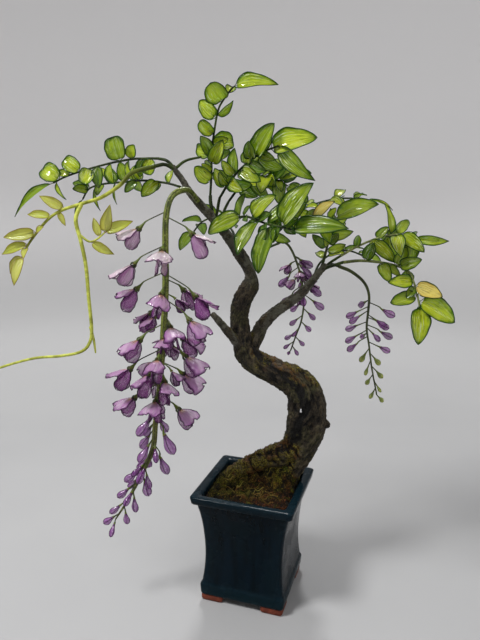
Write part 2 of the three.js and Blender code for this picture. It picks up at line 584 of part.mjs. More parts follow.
const BUD_RACEMES = [
  { name: "raceme_right", radii: [1.9, 0.8], splay: 64,
    route: [[84, 18, 365], [98, 19, 359], [112, 20, 348], [118, 20, 335], [118, 18, 318], [117, 16, 299],
      [120, 14, 281], [124, 12, 257], [131, 10, 226]],
    florets: [
      [0.42, 110, 9, 13, BUD], [0.44, -10, 17, 14, BUD], [0.47, 185, 15, 12, BUD], [0.5, 205, 14, 13, BUD],
      [0.53, -35, 12, 13, BUD], [0.55, 15, 16, 13, BUD], [0.58, 160, 13, 12, BUD], [0.6, -5, 18, 13, BUD],
      [0.62, -60, 12, 12, BUD], [0.64, 190, 15, 12, BUD], [0.66, 100, 10, 12, BUD], [0.69, 200, 17, 12, BUD],
      [0.73, 0, 14, 12, BUD], [0.77, 180, 8, 10, GREEN], [0.8, 10, 8, 10, GREEN], [0.84, 215, 9, 9, GREEN],
      [0.87, -10, 9, 9, GREEN], [0.91, 150, 7, 8, GREEN], [0.94, -60, 6, 8, GREEN], [0.97, 190, 5, 8, GREEN],
      [1, 20, 4, 8, GREEN],
    ] },
  { name: "raceme_back", radii: [1.5, 0.8], splay: 52,
    route: [[19, 33, 386], [26, 38, 388], [33, 41, 383], [40, 42, 370], [47, 42, 350], [51, 40, 326],
      [49, 38, 302], [43, 36, 284], [38, 36, 268]],
    florets: [
      [0.36, 10, 9, 15, BUD], [0.4, -60, 10, 16, BUD], [0.44, 185, 16, 14, BUD], [0.46, 25, 10, 16, BUD],
      [0.5, 95, 12, 14, BUD], [0.52, -30, 12, 16, BUD], [0.55, 190, 18, 14, BUD], [0.57, -100, 12, 14, BUD],
      [0.6, 0, 14, 14, BUD], [0.64, 150, 9, 11, BUD], [0.68, -20, 8, 10, BUD], [0.72, 195, 8, 10, BUD],
      [0.76, 20, 7, 10, BUD], [0.8, -120, 7, 9, BUD], [0.84, 180, 7, 9, BUD], [0.88, 0, 6, 8, BUD],
      [0.92, 200, 6, 8, BUD], [0.96, -40, 5, 8, BUD], [1, 90, 4, 8, BUD],
    ] },
];

/*
 * Where a floret sits: the stalklet's foot, its mouth, and the way that the floret points. An open
 * one hangs out and down, and a bud leans from the stem by the raceme's splay.
 */
function floretPlace(curve, [t, round, stalklet, size, kind], turn, splay, draws) {
  const foot = curve.getPoint(t);
  const aside = radians(round + turn);
  const away = new THREE.Vector3(Math.cos(aside), Math.sin(aside), 0);
  const down = new THREE.Vector3(0, 0, -1);
  const lean = radians(kind === GREEN ? GREEN_SPLAY : splay);
  const out = kind === OPEN
    ? unit(away.clone().multiplyScalar(0.66).addScaledVector(down, 0.7))
    : unit(away.clone().multiplyScalar(Math.sin(lean)).addScaledVector(curve.getTangent(t), Math.cos(lean)));
  const mouth = kind === OPEN
    ? foot.clone().addScaledVector(away, 0.8 * stalklet).addScaledVector(down, 0.5 * stalklet)
    : foot.clone().addScaledVector(out, stalklet);
  const place = { foot, away, mouth, out, up: squareTo(away, out), size, kind, stalklet };
  place.blades = kind === OPEN ? petals(place, draws) : [];
  place.points = kind === OPEN
    ? place.blades.flatMap(petalPoints)
    : [0.3, 0.65, 1].map((far) => mouth.clone().addScaledVector(out, size * far));
  return place;
}

/*
 * Two cupped wings side by side, under a broad banner that stands out over them like a hood. The
 * draws set how far the wings part, how high and how broad the hood is, and the floret's roll.
 */
function petals({ mouth, out, up, size }, [parted, lifted, broad, rolled]) {
  const top = up.clone().applyAxisAngle(out, radians(56 * (rolled - 0.5)));
  const side = new THREE.Vector3().crossVectors(out, top);
  const root = mouth.clone().addScaledVector(out, SEAT_GAP + 0.02 * size);
  const wings = [-1, 1].map((hand) => {
    const sideways = side.clone().multiplyScalar(hand);
    const lean = sideways.clone().multiplyScalar(0.36 + 0.2 * parted);
    const wingOut = unit(out.clone().add(lean).addScaledVector(top, -0.12));
    return {
      root: root.clone().addScaledVector(top, -0.01 * size).addScaledVector(sideways, 0.04 * size),
      out: wingOut, up: squareTo(sideways.clone().addScaledVector(top, 0.3), wingOut),
      length: size * (0.96 - 0.12 * broad), width: size * 0.52, bend: radians(36), kind: WING,
    };
  });
  const bannerOut = unit(top.clone().multiplyScalar(0.56 + 0.34 * lifted).add(out));
  const banner = {
    root: root.clone().addScaledVector(top, 0.04 * size), out: bannerOut, up: squareTo(top, bannerOut),
    length: size * (0.82 + 0.16 * broad), width: size * (0.78 + 0.2 * broad), bend: radians(20),
    kind: BANNER,
  };
  return [...wings, banner];
}

function petalPoints(petal) {
  const spots = [[0.5, 0.9], [0.5, -0.9], [0.8, 0.95], [0.8, -0.95], [0.65, 0], [1, 0]];
  return spots.map(([s, w]) => bladeAt(petal, s, w).point);
}

/* The rings of a stalklet: a longer one bows on its way from the stem to the floret. */
function stalkletRings({ foot, away, mouth, up, stalklet }, sides) {
  const line = unit(mouth.clone().sub(foot));
  const lineUp = squareTo(up, line);
  const knee = foot.clone().lerp(mouth, 0.55).addScaledVector(away, 0.12 * stalklet);
  return (stalklet > 15 ? [foot, knee] : [foot]).map((p) => ringRound(p, line, lineUp, STALKLET, sides));
}

/* A stalklet that ends in the small flat-mouthed cup of an open floret. */
function cuppedStalklet(place) {
  const { mouth, out, up, size } = place;
  const back = mouth.clone().addScaledVector(out, -CUP);
  const cup = [ringRound(back, out, up, STALKLET, 3), ringRound(mouth, out, up, size * 0.1, 3)];
  return loft([...stalkletRings(place, 3), ...cup]);
}

/* A closed bud, widest past its middle. */
function budRings({ mouth, out, up, size }, gap, sides) {
  const at = (along) => mouth.clone().addScaledVector(out, gap + along * size);
  return [
    ringRound(at(0), out, up, size * 0.1, sides),
    ringRound(at(0.6), out, up, size * 0.3, sides, 0.8),
    [at(1)],
  ];
}

/* An open floret: its petals spring from a small hub in front of the cup. */
function openFloret({ mouth, out, up, size, blades }) {
  const at = (far) => mouth.clone().addScaledVector(out, SEAT_GAP + far * size);
  const hub = loft([ringRound(at(0), out, up, size * 0.12, 4), [at(0.24)]]);
  return join([hub, ...blades.map(bladeSolid)]);
}

/* A raceme's stem with its stalklets, and the places of its florets. */
function raceme({ route, radii, florets, splay }) {
  const curve = curveThrough(route);
  const draw = seededDraws(florets.length);
  takeRoute(curve, (route.length - 1) * 3);
  const places = florets.map((floret) => {
    const draws = [draw(), draw(), draw(), draw()];
    return firstClear(ROUND.map((turn) => floretPlace(curve, floret, turn, splay, draws)), BLOOM_ROOM);
  });
  return { line: stem(route, radii), places };
}

// ---------------------------------------------------------------- pot, soil and moss

/* A square with rounded corners, as a ring of points at height z. */
function squareRing(half, z, corner) {
  const points = [];
  for (let quarter = 0; quarter < 4; quarter++) {
    for (const step of [0, 45, 90]) {
      const angle = radians(quarter * 90 + step);
      const turn = radians(quarter * 90 + 45);
      const centre = (half - corner) * Math.SQRT2;
      points.push(new THREE.Vector3(
        centre * Math.cos(turn) + corner * Math.cos(angle),
        centre * Math.sin(turn) + corner * Math.sin(angle),
        z,
      ));
    }
  }
  return points;
}

/* Half the pot's outer and inner width at some heights. */
const OUTER = [
  [8, 46.8], [19, 47.3], [22, 45.6], [34, 44], [50, 43], [66, 43.2], [84, 44.6], [100, 46.8], [112, 49.4],
  [116, 50.2], [117.5, 54.6], [124.6, 56], [126, 55.2],
];
const INNER = [[14, 36], [40, 34.8], [66, 35], [90, 37.6], [110, 41.6], [117, 44.6], [126, 46.4]];

/* The inner half width at a height between the stated ones. */
function innerHalf(z) {
  const k = Math.min(Math.max(INNER.findIndex(([h]) => h >= z), 1), INNER.length - 1);
  const [[z0, a], [z1, b]] = [INNER[k - 1], INNER[k]];
  return THREE.MathUtils.lerp(a, b, (z - z0) / (z1 - z0));
}

function potSolid() {
  const outer = OUTER.map(([z, half]) => squareRing(half, z, POT.cornerRadius));
  const inner = INNER.map(([z, half]) => squareRing(half, z, POT.cornerRadius * 0.7)).reverse();
  const body = loft([...outer, ...inner]);
  const drain = new THREE.CylinderGeometry(POT.drainRadius, POT.drainRadius, 20, 12);
  drain.rotateX(Math.PI / 2);
  drain.translate(0, 0, 10);
  return join([body.subtract(solidFrom(drain)), ...feet()]);
}

/* Four corner feet, each an L with its inner corner cut back. */
function feet() {
  const made = [];
  for (let k = 0; k < 4; k++) {
    const l = new THREE.Shape();
    const [out, size, leg] = [POT.baseHalf - 1.2, POT.footSize, 12];
    l.moveTo(out, out);
    l.lineTo(out - size, out);
    l.lineTo(out - size + 3, out - leg);
    l.lineTo(out - leg, out - leg);
    l.lineTo(out - leg, out - size + 3);
    l.lineTo(out, out - size);
    l.closePath();
    const foot = new THREE.ExtrudeGeometry(l, { depth: POT.footHeight + 1, bevelEnabled: false });
    foot.rotateZ((k * Math.PI) / 2);
    made.push(solidFrom(foot));
  }
  return made;
}

/* The filling that the trunk is set in, fitting the pot's inside. */
function soilSolid() {
  const heights = [POT.floor + SEAT_GAP, 40, 66, 90, SOIL_TOP];
  return loft(heights.map((z) => squareRing(innerHalf(z) - SEAT_GAP * 1.2, z, 2.4)));
}

const MOSS_GRID = 11;
const MOUND = { at: [31, 27], height: 11, spread: 22 }; // round the trunk's foot
const RIDGE = { from: [30, 24], to: [-32, 3], height: 18, spread: 19 }; // over the root that runs left

/* Height of the moss at a place in the pot: a mound, a ridge and small cushions. */
function mossHeight(x, y) {
  const edge = Math.max(Math.abs(x), Math.abs(y)) / 45;
  const away = Math.hypot(x - MOUND.at[0], y - MOUND.at[1]);
  const mound = MOUND.height * Math.exp(-((away / MOUND.spread) ** 2));
  const [ax, ay, bx, by] = [...RIDGE.from, ...RIDGE.to];
  const along = THREE.MathUtils.clamp(
    ((x - ax) * (bx - ax) + (y - ay) * (by - ay)) / ((bx - ax) ** 2 + (by - ay) ** 2), 0, 1);
  const far = Math.hypot(x - ax - along * (bx - ax), y - ay - along * (by - ay));
  const ridge = RIDGE.height * (1 - 0.4 * along) * Math.exp(-((far / RIDGE.spread) ** 2));
  const cushions = 1.5 * Math.sin(x * 0.31 + 1) * Math.cos(y * 0.27) + 1.1 * Math.sin(x * 0.6 + y * 0.5);
  return MOSS_EDGE + (mound + ridge + cushions) * (1 - 0.75 * Math.min(edge, 1) ** 6);
}

function mossSolid() {
  const bottom = SOIL_TOP + SEAT_GAP;
  const half = innerHalf(bottom) - SEAT_GAP * 1.5;
  const topHalf = innerHalf(MOSS_EDGE - 2) - SEAT_GAP * 1.5;
  const n = MOSS_GRID;
  const positions = [];
  const spot = (i) => (2 * i) / n - 1;
  const corner = (i, j) => 1 - 0.035 * Math.abs(spot(i) * spot(j)) ** 6; // draws the corners in
  for (let i = 0; i <= n; i++) {
    for (let j = 0; j <= n; j++) {
      const [x, y] = [topHalf * spot(i) * corner(i, j), topHalf * spot(j) * corner(i, j)];
      positions.push(x, y, mossHeight(x, y));
    }
  }
  const count = (n + 1) ** 2;
  const rim = [];
  for (let i = 0; i < n; i++) rim.push([i, 0]);
  for (let j = 0; j < n; j++) rim.push([n, j]);
  for (let i = n; i > 0; i--) rim.push([i, n]);
  for (let j = n; j > 0; j--) rim.push([0, j]);
  rim.forEach(([i, j]) => {
    positions.push(half * spot(i) * corner(i, j), half * spot(j) * corner(i, j), bottom);
  });
  const centre = count + rim.length;
  positions.push(0, 0, bottom);
  const faces = [];
  const at = (i, j) => i * (n + 1) + j;
  for (let i = 0; i < n; i++) {
    for (let j = 0; j < n; j++) {
      faces.push(at(i, j), at(i + 1, j), at(i + 1, j + 1), at(i, j), at(i + 1, j + 1), at(i, j + 1));
    }
  }
  rim.forEach(([i, j], k) => {
    const [i2, j2] = rim[(k + 1) % rim.length];
    const [a, b] = [count + k, count + ((k + 1) % rim.length)];
    faces.push(at(i, j), a, b, at(i, j), b, at(i2, j2), a, centre, b);
  });
  return solidOf(positions, faces);
}

// ---------------------------------------------------------------- the plant

const wood = woodSolid(0);
const woodRoom = woodSolid(SEAT_GAP);
takeSkin(curveThrough(TRUNK), trunkRadius, 70);
LIMBS.forEach(({ route }) => takeRoute(curveThrough(route), (route.length - 1) * 3));

const tree = new THREE.Group();
tree.rotation.z = radians(TREE_TURN);
tree.add(meshOf("trunk_and_branches", largest(wood.subtract(eyeCutter())), COLOURS.bark, 0.9));

const main = raceme(MAIN_RACEME);
const mainStem = join([main.line, ...main.places.map(cuppedStalklet)]);
tree.add(meshOf("raceme_main_stem", largest(mainStem.subtract(woodRoom)), COLOURS.greenStem));
main.places.forEach((place, k) => {
  const solid = place.kind === OPEN ? openFloret(place) : loft(budRings(place, SEAT_GAP, 5));
  const name = "raceme_main_floret_" + String(k + 1).padStart(2, "0");
  tree.add(meshOf(name, solid, place.kind === OPEN && k < 4 ? COLOURS.palePetal : COLOURS.petal, 0.3));
});
for (const spray of BUD_RACEMES) {
  const { line, places } = raceme(spray);
  const buds = places.map((place) => loft([...stalkletRings(place, 4), ...budRings(place, 0, 4)]));
  tree.add(meshOf(spray.name, largest(join([line, ...buds]).subtract(woodRoom)), COLOURS.petal, 0.4));
}
for (const frond of FRONDS) {
  const solid = largest(frondSolid(frond).subtract(woodRoom));
  tree.add(meshOf(frond.name, solid, frond.young ? COLOURS.youngLeaf : COLOURS.leaf, 0.3));
}

const pot = new THREE.Group();
const buried = woodRoom.rotate([0, 0, TREE_TURN]);
pot.add(meshOf("pot", potSolid(), COLOURS.glaze, 0.25));
pot.add(meshOf("soil", largest(soilSolid().subtract(buried)), COLOURS.soil, 1));
pot.add(meshOf("moss", largest(mossSolid().subtract(buried)), COLOURS.moss, 1));

const plant = new THREE.Group();
plant.add(pot, tree);
const reach = new THREE.Box3().setFromObject(plant, true).getCenter(new THREE.Vector3());
plant.position.set(-reach.x, -reach.y, 0);

export default plant;
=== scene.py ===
"""
Looks of the wisteria bonsai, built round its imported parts.

The tree is drawn in millimetres in its own front view: x to the right, y away from the viewer, z up,
with the middle of the pot's foot as origin. framed() turns such points into the frame's metres.
Leaflets and florets are clear resin films in loops of fine wire, stems are wrapped wire, the trunk
is furrowed bark, and moss covers the filling of a glazed pot with unglazed feet.
"""
import itertools
import math

import bpy
import numpy as np
from mathutils import Matrix, Vector


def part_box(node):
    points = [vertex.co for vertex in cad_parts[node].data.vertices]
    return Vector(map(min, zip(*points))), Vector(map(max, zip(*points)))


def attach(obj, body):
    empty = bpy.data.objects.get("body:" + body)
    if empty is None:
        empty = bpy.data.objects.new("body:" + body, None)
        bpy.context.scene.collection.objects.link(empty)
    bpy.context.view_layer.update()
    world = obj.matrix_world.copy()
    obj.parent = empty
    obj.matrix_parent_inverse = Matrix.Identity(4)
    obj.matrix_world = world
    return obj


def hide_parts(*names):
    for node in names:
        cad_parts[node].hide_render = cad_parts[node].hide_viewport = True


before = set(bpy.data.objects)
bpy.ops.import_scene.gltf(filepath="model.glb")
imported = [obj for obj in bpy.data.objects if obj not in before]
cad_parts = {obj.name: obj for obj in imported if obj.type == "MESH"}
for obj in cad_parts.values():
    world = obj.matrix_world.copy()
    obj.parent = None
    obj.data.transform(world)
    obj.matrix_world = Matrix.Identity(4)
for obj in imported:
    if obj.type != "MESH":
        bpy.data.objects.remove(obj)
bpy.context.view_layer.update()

# ---- driving values, in millimetres

MM = 0.001
TREE_TURN = math.radians(17.5)  # from the pot's front to the tree's front
POT_FROM_TREE = np.array([[math.cos(TREE_TURN), math.sin(TREE_TURN), 0],
                          [-math.sin(TREE_TURN), math.cos(TREE_TURN), 0], [0, 0, 1]])
TREE_FROM_POT = POT_FROM_TREE.T.copy()
SEAT_GAP = 0.35  # between a floret and its cup
LEAF_ROOM = 5.0  # least distance that a new leaflet keeps from what already stands
SMALL_ROOM = 2.2  # the same for the small ones between them
BLOOM_ROOM = 4.5  # the same between florets
FILM_THICK = 0.3
WIRE_SIDES = 5

pot_low, pot_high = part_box("pot")
POT_MIDDLE = np.array([(pot_low.x + pot_high.x) / 2, (pot_low.y + pot_high.y) / 2, 0])

# ---- small helpers


def seeded_draws(seed):
    """Numbers from 0 to 1 in a fixed order."""
    state = seed
    while True:
        state = (state * 1664525 + 1013904223) % 4294967296
        yield state / 4294967296


def four(draw):
    """The next four of some draws."""
    return [next(draw) for _ in range(4)]


def framed(points):
    """Points of the tree's view, in millimetres, as points of the frame, in metres."""
    return np.asarray(points) @ POT_FROM_TREE * MM + POT_MIDDLE


def unframed(points):
    """The inverse of framed()."""
    return (np.asarray(points) - POT_MIDDLE) / MM @ TREE_FROM_POT


def potted(points):
    """Points measured from the pot's middle along its sides, in millimetres, as points of the frame."""
    return np.asarray(points) * MM + POT_MIDDLE


def unit(v):
    v = np.asarray(v, float)
    return v / np.maximum(np.linalg.norm(v, axis=-1, keepdims=True), 1e-12)


def dot(a, b):
    return (a * b).sum(-1, keepdims=True)


def square_to(direction, axis):
    """The part of a direction that is square to an axis, as a unit vector."""
    return unit(direction - dot(direction, axis) * axis)


def turned(v, axis, angle):
    """v turned about a unit axis."""
    c, s = math.cos(angle), math.sin(angle)
    return v * c + np.cross(axis, v) * s + axis * (v @ axis) * (1 - c)


def smooth(low, high, x):
    """0 below low, 1 above high and an even step between them."""
    t = np.clip((np.asarray(x, float) - low) / (high - low), 0, 1)
    return t * t * (3 - 2 * t)


def lumps(points, seed=0):
    """Smooth noise from -1 to 1 at each point, with one lump to a unit."""
    cell = np.floor(points).astype(np.int64)
    f = points - cell
    f = f * f * (3 - 2 * f)
    total = np.zeros(len(points))
    for corner in itertools.product((0, 1), repeat=3):
        x, y, z = (cell + corner).T
        h = (x * 73856093 ^ y * 19349663 ^ z * 83492791 ^ (seed + 1) * 40503) & 0xFFFFFFFF
        h = ((h ^ (h >> 13)) * 1274126177) & 0xFFFFFFFF
        value = ((h ^ (h >> 16)) & 0xFFFF) / 32767.5 - 1
        total += value * np.prod(np.where(corner, f, 1 - f), axis=1)
    return total


def clumps(x, y, size):
    """For places on a plane grown over with clumps: how far each lies from the middle of its clump, as
    a share of the clumps' size, and a draw from 0 to 1 of the clump's own."""
    cell_x, cell_y = np.floor(x / size), np.floor(y / size)
    near, own = np.full(np.shape(x), 9.0), np.zeros(np.shape(x))
    for i in (-1, 0, 1):
        for j in (-1, 0, 1):
            a, b = cell_x + i, cell_y + j
            draws = [np.modf(np.abs(np.sin(a * 127.1 + b * 311.7 + k * 74.7) * 437.585))[0] for k in range(3)]
            far = np.hypot(x - (a + draws[0]) * size, y - (b + draws[1]) * size) / size
            near, own = np.minimum(far, near), np.where(far < near, draws[2], own)
    return near, own


class Route:
    """A smooth curve through points. u runs from 0 to 1 in equal shares from point to point."""

    def __init__(self, points):
        p = np.array(points, float)
        self.spans = len(p) - 1
        self.knots = np.vstack([2 * p[0] - p[1], p, 2 * p[-1] - p[-2]])

    def at(self, u):
        place = np.asarray(u, float) * self.spans
        k = np.minimum(place.astype(int), self.spans - 1)
        t = (place - k)[..., None]
        a, b, c, d = (self.knots[k + i] for i in range(4))
        m, n = (c - a) / 2, (d - b) / 2
        return b + m * t + (3 * (c - b) - 2 * m - n) * t**2 + (2 * (b - c) + m + n) * t**3

    def tangent(self, u):
        u = np.asarray(u, float)
        return unit(self.at(np.minimum(u + 1e-4, 1)) - self.at(np.maximum(u - 1e-4, 0)))


# ---- meshes


class Stock:
    """Points and faces gathered for one piece. Each point keeps its place on its own blade or stem
    (along, across) and a tone; each face keeps which of the piece's materials it has."""

    def __init__(self):
        self.points, self.faces, self.marks, self.finish = [], [], [], []
        self.count = 0

    def add(self, points, faces, along=0, across=0, tone=0, finish=0):
        n = len(points)
        self.points.append(points)
        self.marks.append(np.stack([np.broadcast_to(v, n) for v in (along, across, tone)], 1))
        for some in faces:
            self.faces.append(some + self.count)
            self.finish.append(np.full(len(some), finish))
        self.count += n

    def as_piece(self, name, materials, slot, nodes=(), place=framed):
        """All that is gathered as one piece."""
        piece(name, self.mesh(name, place), materials, slot, nodes)

    def mesh(self, name, place=framed):
        mesh = bpy.data.meshes.new(name)
        corners = np.concatenate([f.ravel() for f in self.faces])
        sizes = np.concatenate([np.full(len(f), f.shape[1]) for f in self.faces])
        mesh.vertices.add(self.count)
        mesh.vertices.foreach_set("co", place(np.vstack(self.points)).astype(np.float32).ravel())
        mesh.loops.add(len(corners))
        mesh.loops.foreach_set("vertex_index", corners.astype(np.int32))
        mesh.polygons.add(len(sizes))
        mesh.polygons.foreach_set("loop_start", (np.cumsum(sizes) - sizes).astype(np.int32))
        mesh.polygons.foreach_set("material_index", np.concatenate(self.finish).astype(np.int32))
        mesh.update(calc_edges=True)
        keep_marks(mesh, "place", np.vstack(self.marks))
        mesh.shade_smooth()
        return mesh


def keep_marks(mesh, name, values):
    """Three values at each point, for the materials."""
    kept = mesh.attributes.new(name, "FLOAT_VECTOR", "POINT")
    kept.data.foreach_set("vector", values.astype(np.float32).ravel())


def placed(name, data):
    """A new object in the scene."""
    made = bpy.data.objects.new(name, data)
    bpy.context.scene.collection.objects.link(made)
    return made


def piece(name, mesh, materials, slot, nodes=()):
    """A mesh as a piece of the plant, which stands for the named CAD nodes."""
    made = placed(name, mesh)
    for material in materials:
        mesh.materials.append(material)
    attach(made, "root")
    if nodes:
        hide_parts(*nodes)


def grid_faces(rows, columns, ring=False):
    """Four-sided faces between the points of a grid; a ring joins each row's end to its start."""
    r, c = np.meshgrid(np.arange(rows - 1), np.arange(columns - (not ring)), indexing="ij")
    a = (r * columns + c).ravel()
    b = (r * columns + (c + 1) % columns).ravel()
    return np.stack([a, b, b + columns, a + columns], 1)


def sheet_faces(rows, columns):
    """Faces of a closed sheet: a grid, the grid under it, whose points come after, and the edge."""
    top, count = grid_faces(rows, columns), rows * columns
    k = np.arange(count).reshape(rows, columns)
    border = np.concatenate([k[0, :-1], k[:-1, -1], k[-1, :0:-1], k[:0:-1, 0]])
    nearby = np.roll(border, -1)
    return [top, top[:, ::-1] + count, np.stack([nearby, border, border + count, nearby + count], 1)]


def run_lengths(line):
    """How far along a line each of its points lies."""
    return np.concatenate([[0], np.cumsum(np.linalg.norm(np.diff(line, axis=0), axis=1))])


START = np.array([0.3, 1, 0.2])  # points of a ring are counted from this side; no stem runs along it


def carried(start, tangents):
    """A direction carried along a line without turning about it."""
    found = []
    for tangent in tangents:
        start = square_to(start, tangent)
        found.append(start)
    return np.array(found)


def skin(centres, tangents, across, radii, sides, relief=None):
    """Rings of points round a line. radii is one number or one for each ring."""
    other = np.cross(tangents, across)
    angle = 2 * math.pi * (np.arange(sides) + 0.5) / sides
    r = np.broadcast_to(radii, len(centres))[:, None] * np.ones(sides)
    if relief is not None:
        r = r * relief(angle[None, :], np.linspace(0, 1, len(centres))[:, None])
    ways = across[:, None] * np.cos(angle)[:, None] + other[:, None] * np.sin(angle)[:, None]
    return (centres[:, None] + r[..., None] * ways).reshape(-1, 3)


def capped(rows, sides):
    """Faces of a tube whose ends are closed by a point each, kept after the rings."""
    first, last = rows * sides, rows * sides + 1
    k = np.arange(sides)
    near = np.stack([k, (k + 1) % sides, np.full(sides, first)], 1)[:, ::-1]
    far = np.stack([k, (k + 1) % sides, np.full(sides, 0)], 1) + (rows - 1) * sides
    far[:, 2] = last
    return [grid_faces(rows, sides, ring=True), near, far]


def ribbed(depth, ribs, wind):
    """Relief of a stem with shallow ribs that wind round it."""
    return lambda a, u: 1 + depth * np.cos(ribs * a + wind * u)


def add_stem(stock, route, radii, sides=8, steps=6, start=START, relief=None, **marks):
    """A stem of wrapped wire along a route, whose radii are spread evenly from foot to tip."""
    curve = Route(route)
    u = np.linspace(0, 1, curve.spans * steps + 1)
    centres, tangents = curve.at(u), curve.tangent(u)
    across = carried(np.array(start, float), tangents)
    radius = np.interp(u * (len(radii) - 1), np.arange(len(radii)), radii)
    points = skin(centres, tangents, across, radius, sides, relief)
    points = np.vstack([points, centres[0], centres[-1] + tangents[-1] * radius[-1] * 0.7])
    length = run_lengths(centres)
    along = np.append(np.repeat(length, sides), [0, length[-1]])
    across_marks = np.append(np.tile(np.arange(sides) / sides, len(u)), [0, 0])
    stock.add(points, capped(len(u), sides), along=along, across=across_marks, **marks)
    return curve


def add_loop(stock, line, across, radius, **marks):
    """A closed loop of wire through points."""
    tangents = unit(np.roll(line, -1, 0) - np.roll(line, 1, 0))
    points = skin(line, tangents, square_to(across, tangents), radius, WIRE_SIDES)
    faces = grid_faces(len(line), WIRE_SIDES, ring=True)
    closing = grid_faces(2, WIRE_SIDES, ring=True)
    closing = np.where(closing < WIRE_SIDES, closing + (len(line) - 1) * WIRE_SIDES, closing - WIRE_SIDES)
    stock.add(points, [faces, closing], **marks)


# ---- blades: leaflets and petals

# How each kind of blade widens from its root and narrows to its tip, and how deep it is cupped.
LEAFLET = {"rise": 0.62, "fall": 0.85, "cup": 0.22}
NARROW_LEAFLET = {"rise": 0.8, "fall": 1.15, "cup": 0.24}
ROUND_LEAFLET = {"rise": 0.6, "fall": 0.5, "cup": 0.2}
BANNER = {"rise": 0.75, "fall": 0.36, "cup": -0.16}
WING = {"rise": 0.8, "fall": 0.42, "cup": -0.12}
KEEL = {"rise": 0.7, "fall": 0.6, "cup": 0.9}
RIB_REACH, RIB_STEPS = 0.86, 12  # how far along a blade its rib runs, and the rings in it


def outline(kind, s):
    """Half the width at s, from 0 at the root to 1 at the tip, as a share of its widest."""
    rise, fall = kind["rise"], kind["fall"]
    widest = rise / (rise + fall)
    return s**rise * (1 - s) ** fall / (widest**rise * (1 - widest) ** fall)


def blade_at(blade, s, w):
    """Points of a blade's middle surface and the normals there, for arrays of s and w. It leaves its
    root along `out` with its face along `up`, bends down in an arc and is cupped across."""
    s, w = np.asarray(s, float)[..., None], np.asarray(w, float)[..., None]
    out, up, bend, length = blade["out"], blade["up"], blade["bend"], blade["length"]
    turn = bend * s
    half = blade["width"] / 2 * outline(blade["kind"], s)
    normal = up * np.cos(turn) + out * np.sin(turn)
    point = (
        blade["root"]
        + out * length * np.sin(turn) / bend
        - up * length * (1 - np.cos(turn)) / bend
        + np.cross(up, out) * half * w
        + normal * blade["kind"]["cup"] * half * 2 * w**2
    )
    return point, normal


def add_blade(films, wires, blade, tone, relief, wire_finish=0, cells=(16, 17), rim=0.27, rib=0.0,
              first=0.06, stalked=0.0, notch=0.0, ragged=(0.0, 0.0)):
    """A film of resin in a loop of wire, with an optional wire rib down its middle. relief(s, w)
    raises the film, in millimetres. stalked is the share of its length that is drawn in to a stalk,
    notch draws the middle of the tip back, and ragged (share, phase) makes its outline uneven."""
    rows, columns = cells
    share, phase = ragged

    def place(s, w):
        drawn_in = smooth(0.2 * stalked, 2 * stalked + 1e-6, s) ** 0.8
        uneven = np.sin(8 * s + phase + 2.2 * np.sign(w)) + 0.6 * np.sin(19 * s + 2 * phase + 1.1 * np.sign(w))
        point, normal = blade_at(blade, s, w * drawn_in * (1 + share * uneven * np.abs(w)))
        back = notch * blade["length"] * np.exp(-((w / 0.35) ** 2)) * s**5
        return point - blade["out"] * back[..., None], normal

    s = first + (0.985 - first) * (np.linspace(0, 1, rows) ** 0.9)
    s, w = np.meshgrid(s, np.linspace(-0.98, 0.98, columns), indexing="ij")
    middle, normal = place(s, w)
    middle = middle + normal * relief(s, w)[..., None]
    faces = [(middle + normal * side * FILM_THICK / 2).reshape(-1, 3) for side in (1, -1)]
    films.add(np.vstack(faces), sheet_faces(rows, columns), along=np.tile(s.ravel(), 2),
              across=np.tile(w.ravel(), 2), tone=tone)

    side = np.linspace(0.012, 0.985 if notch else 0.998, rows + 6)
    tip = np.linspace(-0.8, 0.8, 7) if notch else np.zeros(0)
    around = np.concatenate([side, np.full(len(tip), 0.986), side[::-1] if notch else side[-2::-1]])
    hand = np.concatenate([np.full(len(side), -1.0), tip, np.ones(len(around) - len(side) - len(tip))])
    line, normals = place(around, hand)
    line = line + normals * relief(around, hand)[..., None]
    add_loop(wires, line, normals, rim, along=0.5, tone=tone, finish=wire_finish)
    if rib:
        u, straight = np.linspace(0, RIB_REACH, RIB_STEPS), np.zeros(RIB_STEPS)
        line, normals = place(u, straight)
        line = line + normals * relief(u, straight)[:, None]
        tangents = unit(np.gradient(line, axis=0))
        radius = rib * (1 - 0.75 * u / RIB_REACH)
        points = skin(line, tangents, square_to(normals, tangents), radius, WIRE_SIDES)
        wires.add(np.vstack([points, line[0], line[-1]]), capped(RIB_STEPS, WIRE_SIDES), along=0.5,
                  tone=tone, finish=wire_finish)


# ---- room between neighbours

taken = [np.zeros((0, 3))]  # points of all that stands already


def first_clear(ways, room):
    """The first of some ways to place a thing that keeps clear, or else the clearest of them. A way
    is (thing, points)."""
    stands = np.vstack(taken)
    taken[:] = [stands]
    best, most = None, -1.0
    for thing, points in ways:
        apart = points[:, None] - stands[None]
        clear = math.sqrt((apart * apart).sum(-1).min())
        if clear >= room:
            best = (thing, points)
            break
        if clear > most:
            best, most = (thing, points), clear
    taken.append(best[1])
    return best[0]


def take_route(curve, steps):
    """Keeps the room along a stem."""
    taken.append(curve.at(np.arange(1, steps + 1) / steps))


# ---- trunk and wood

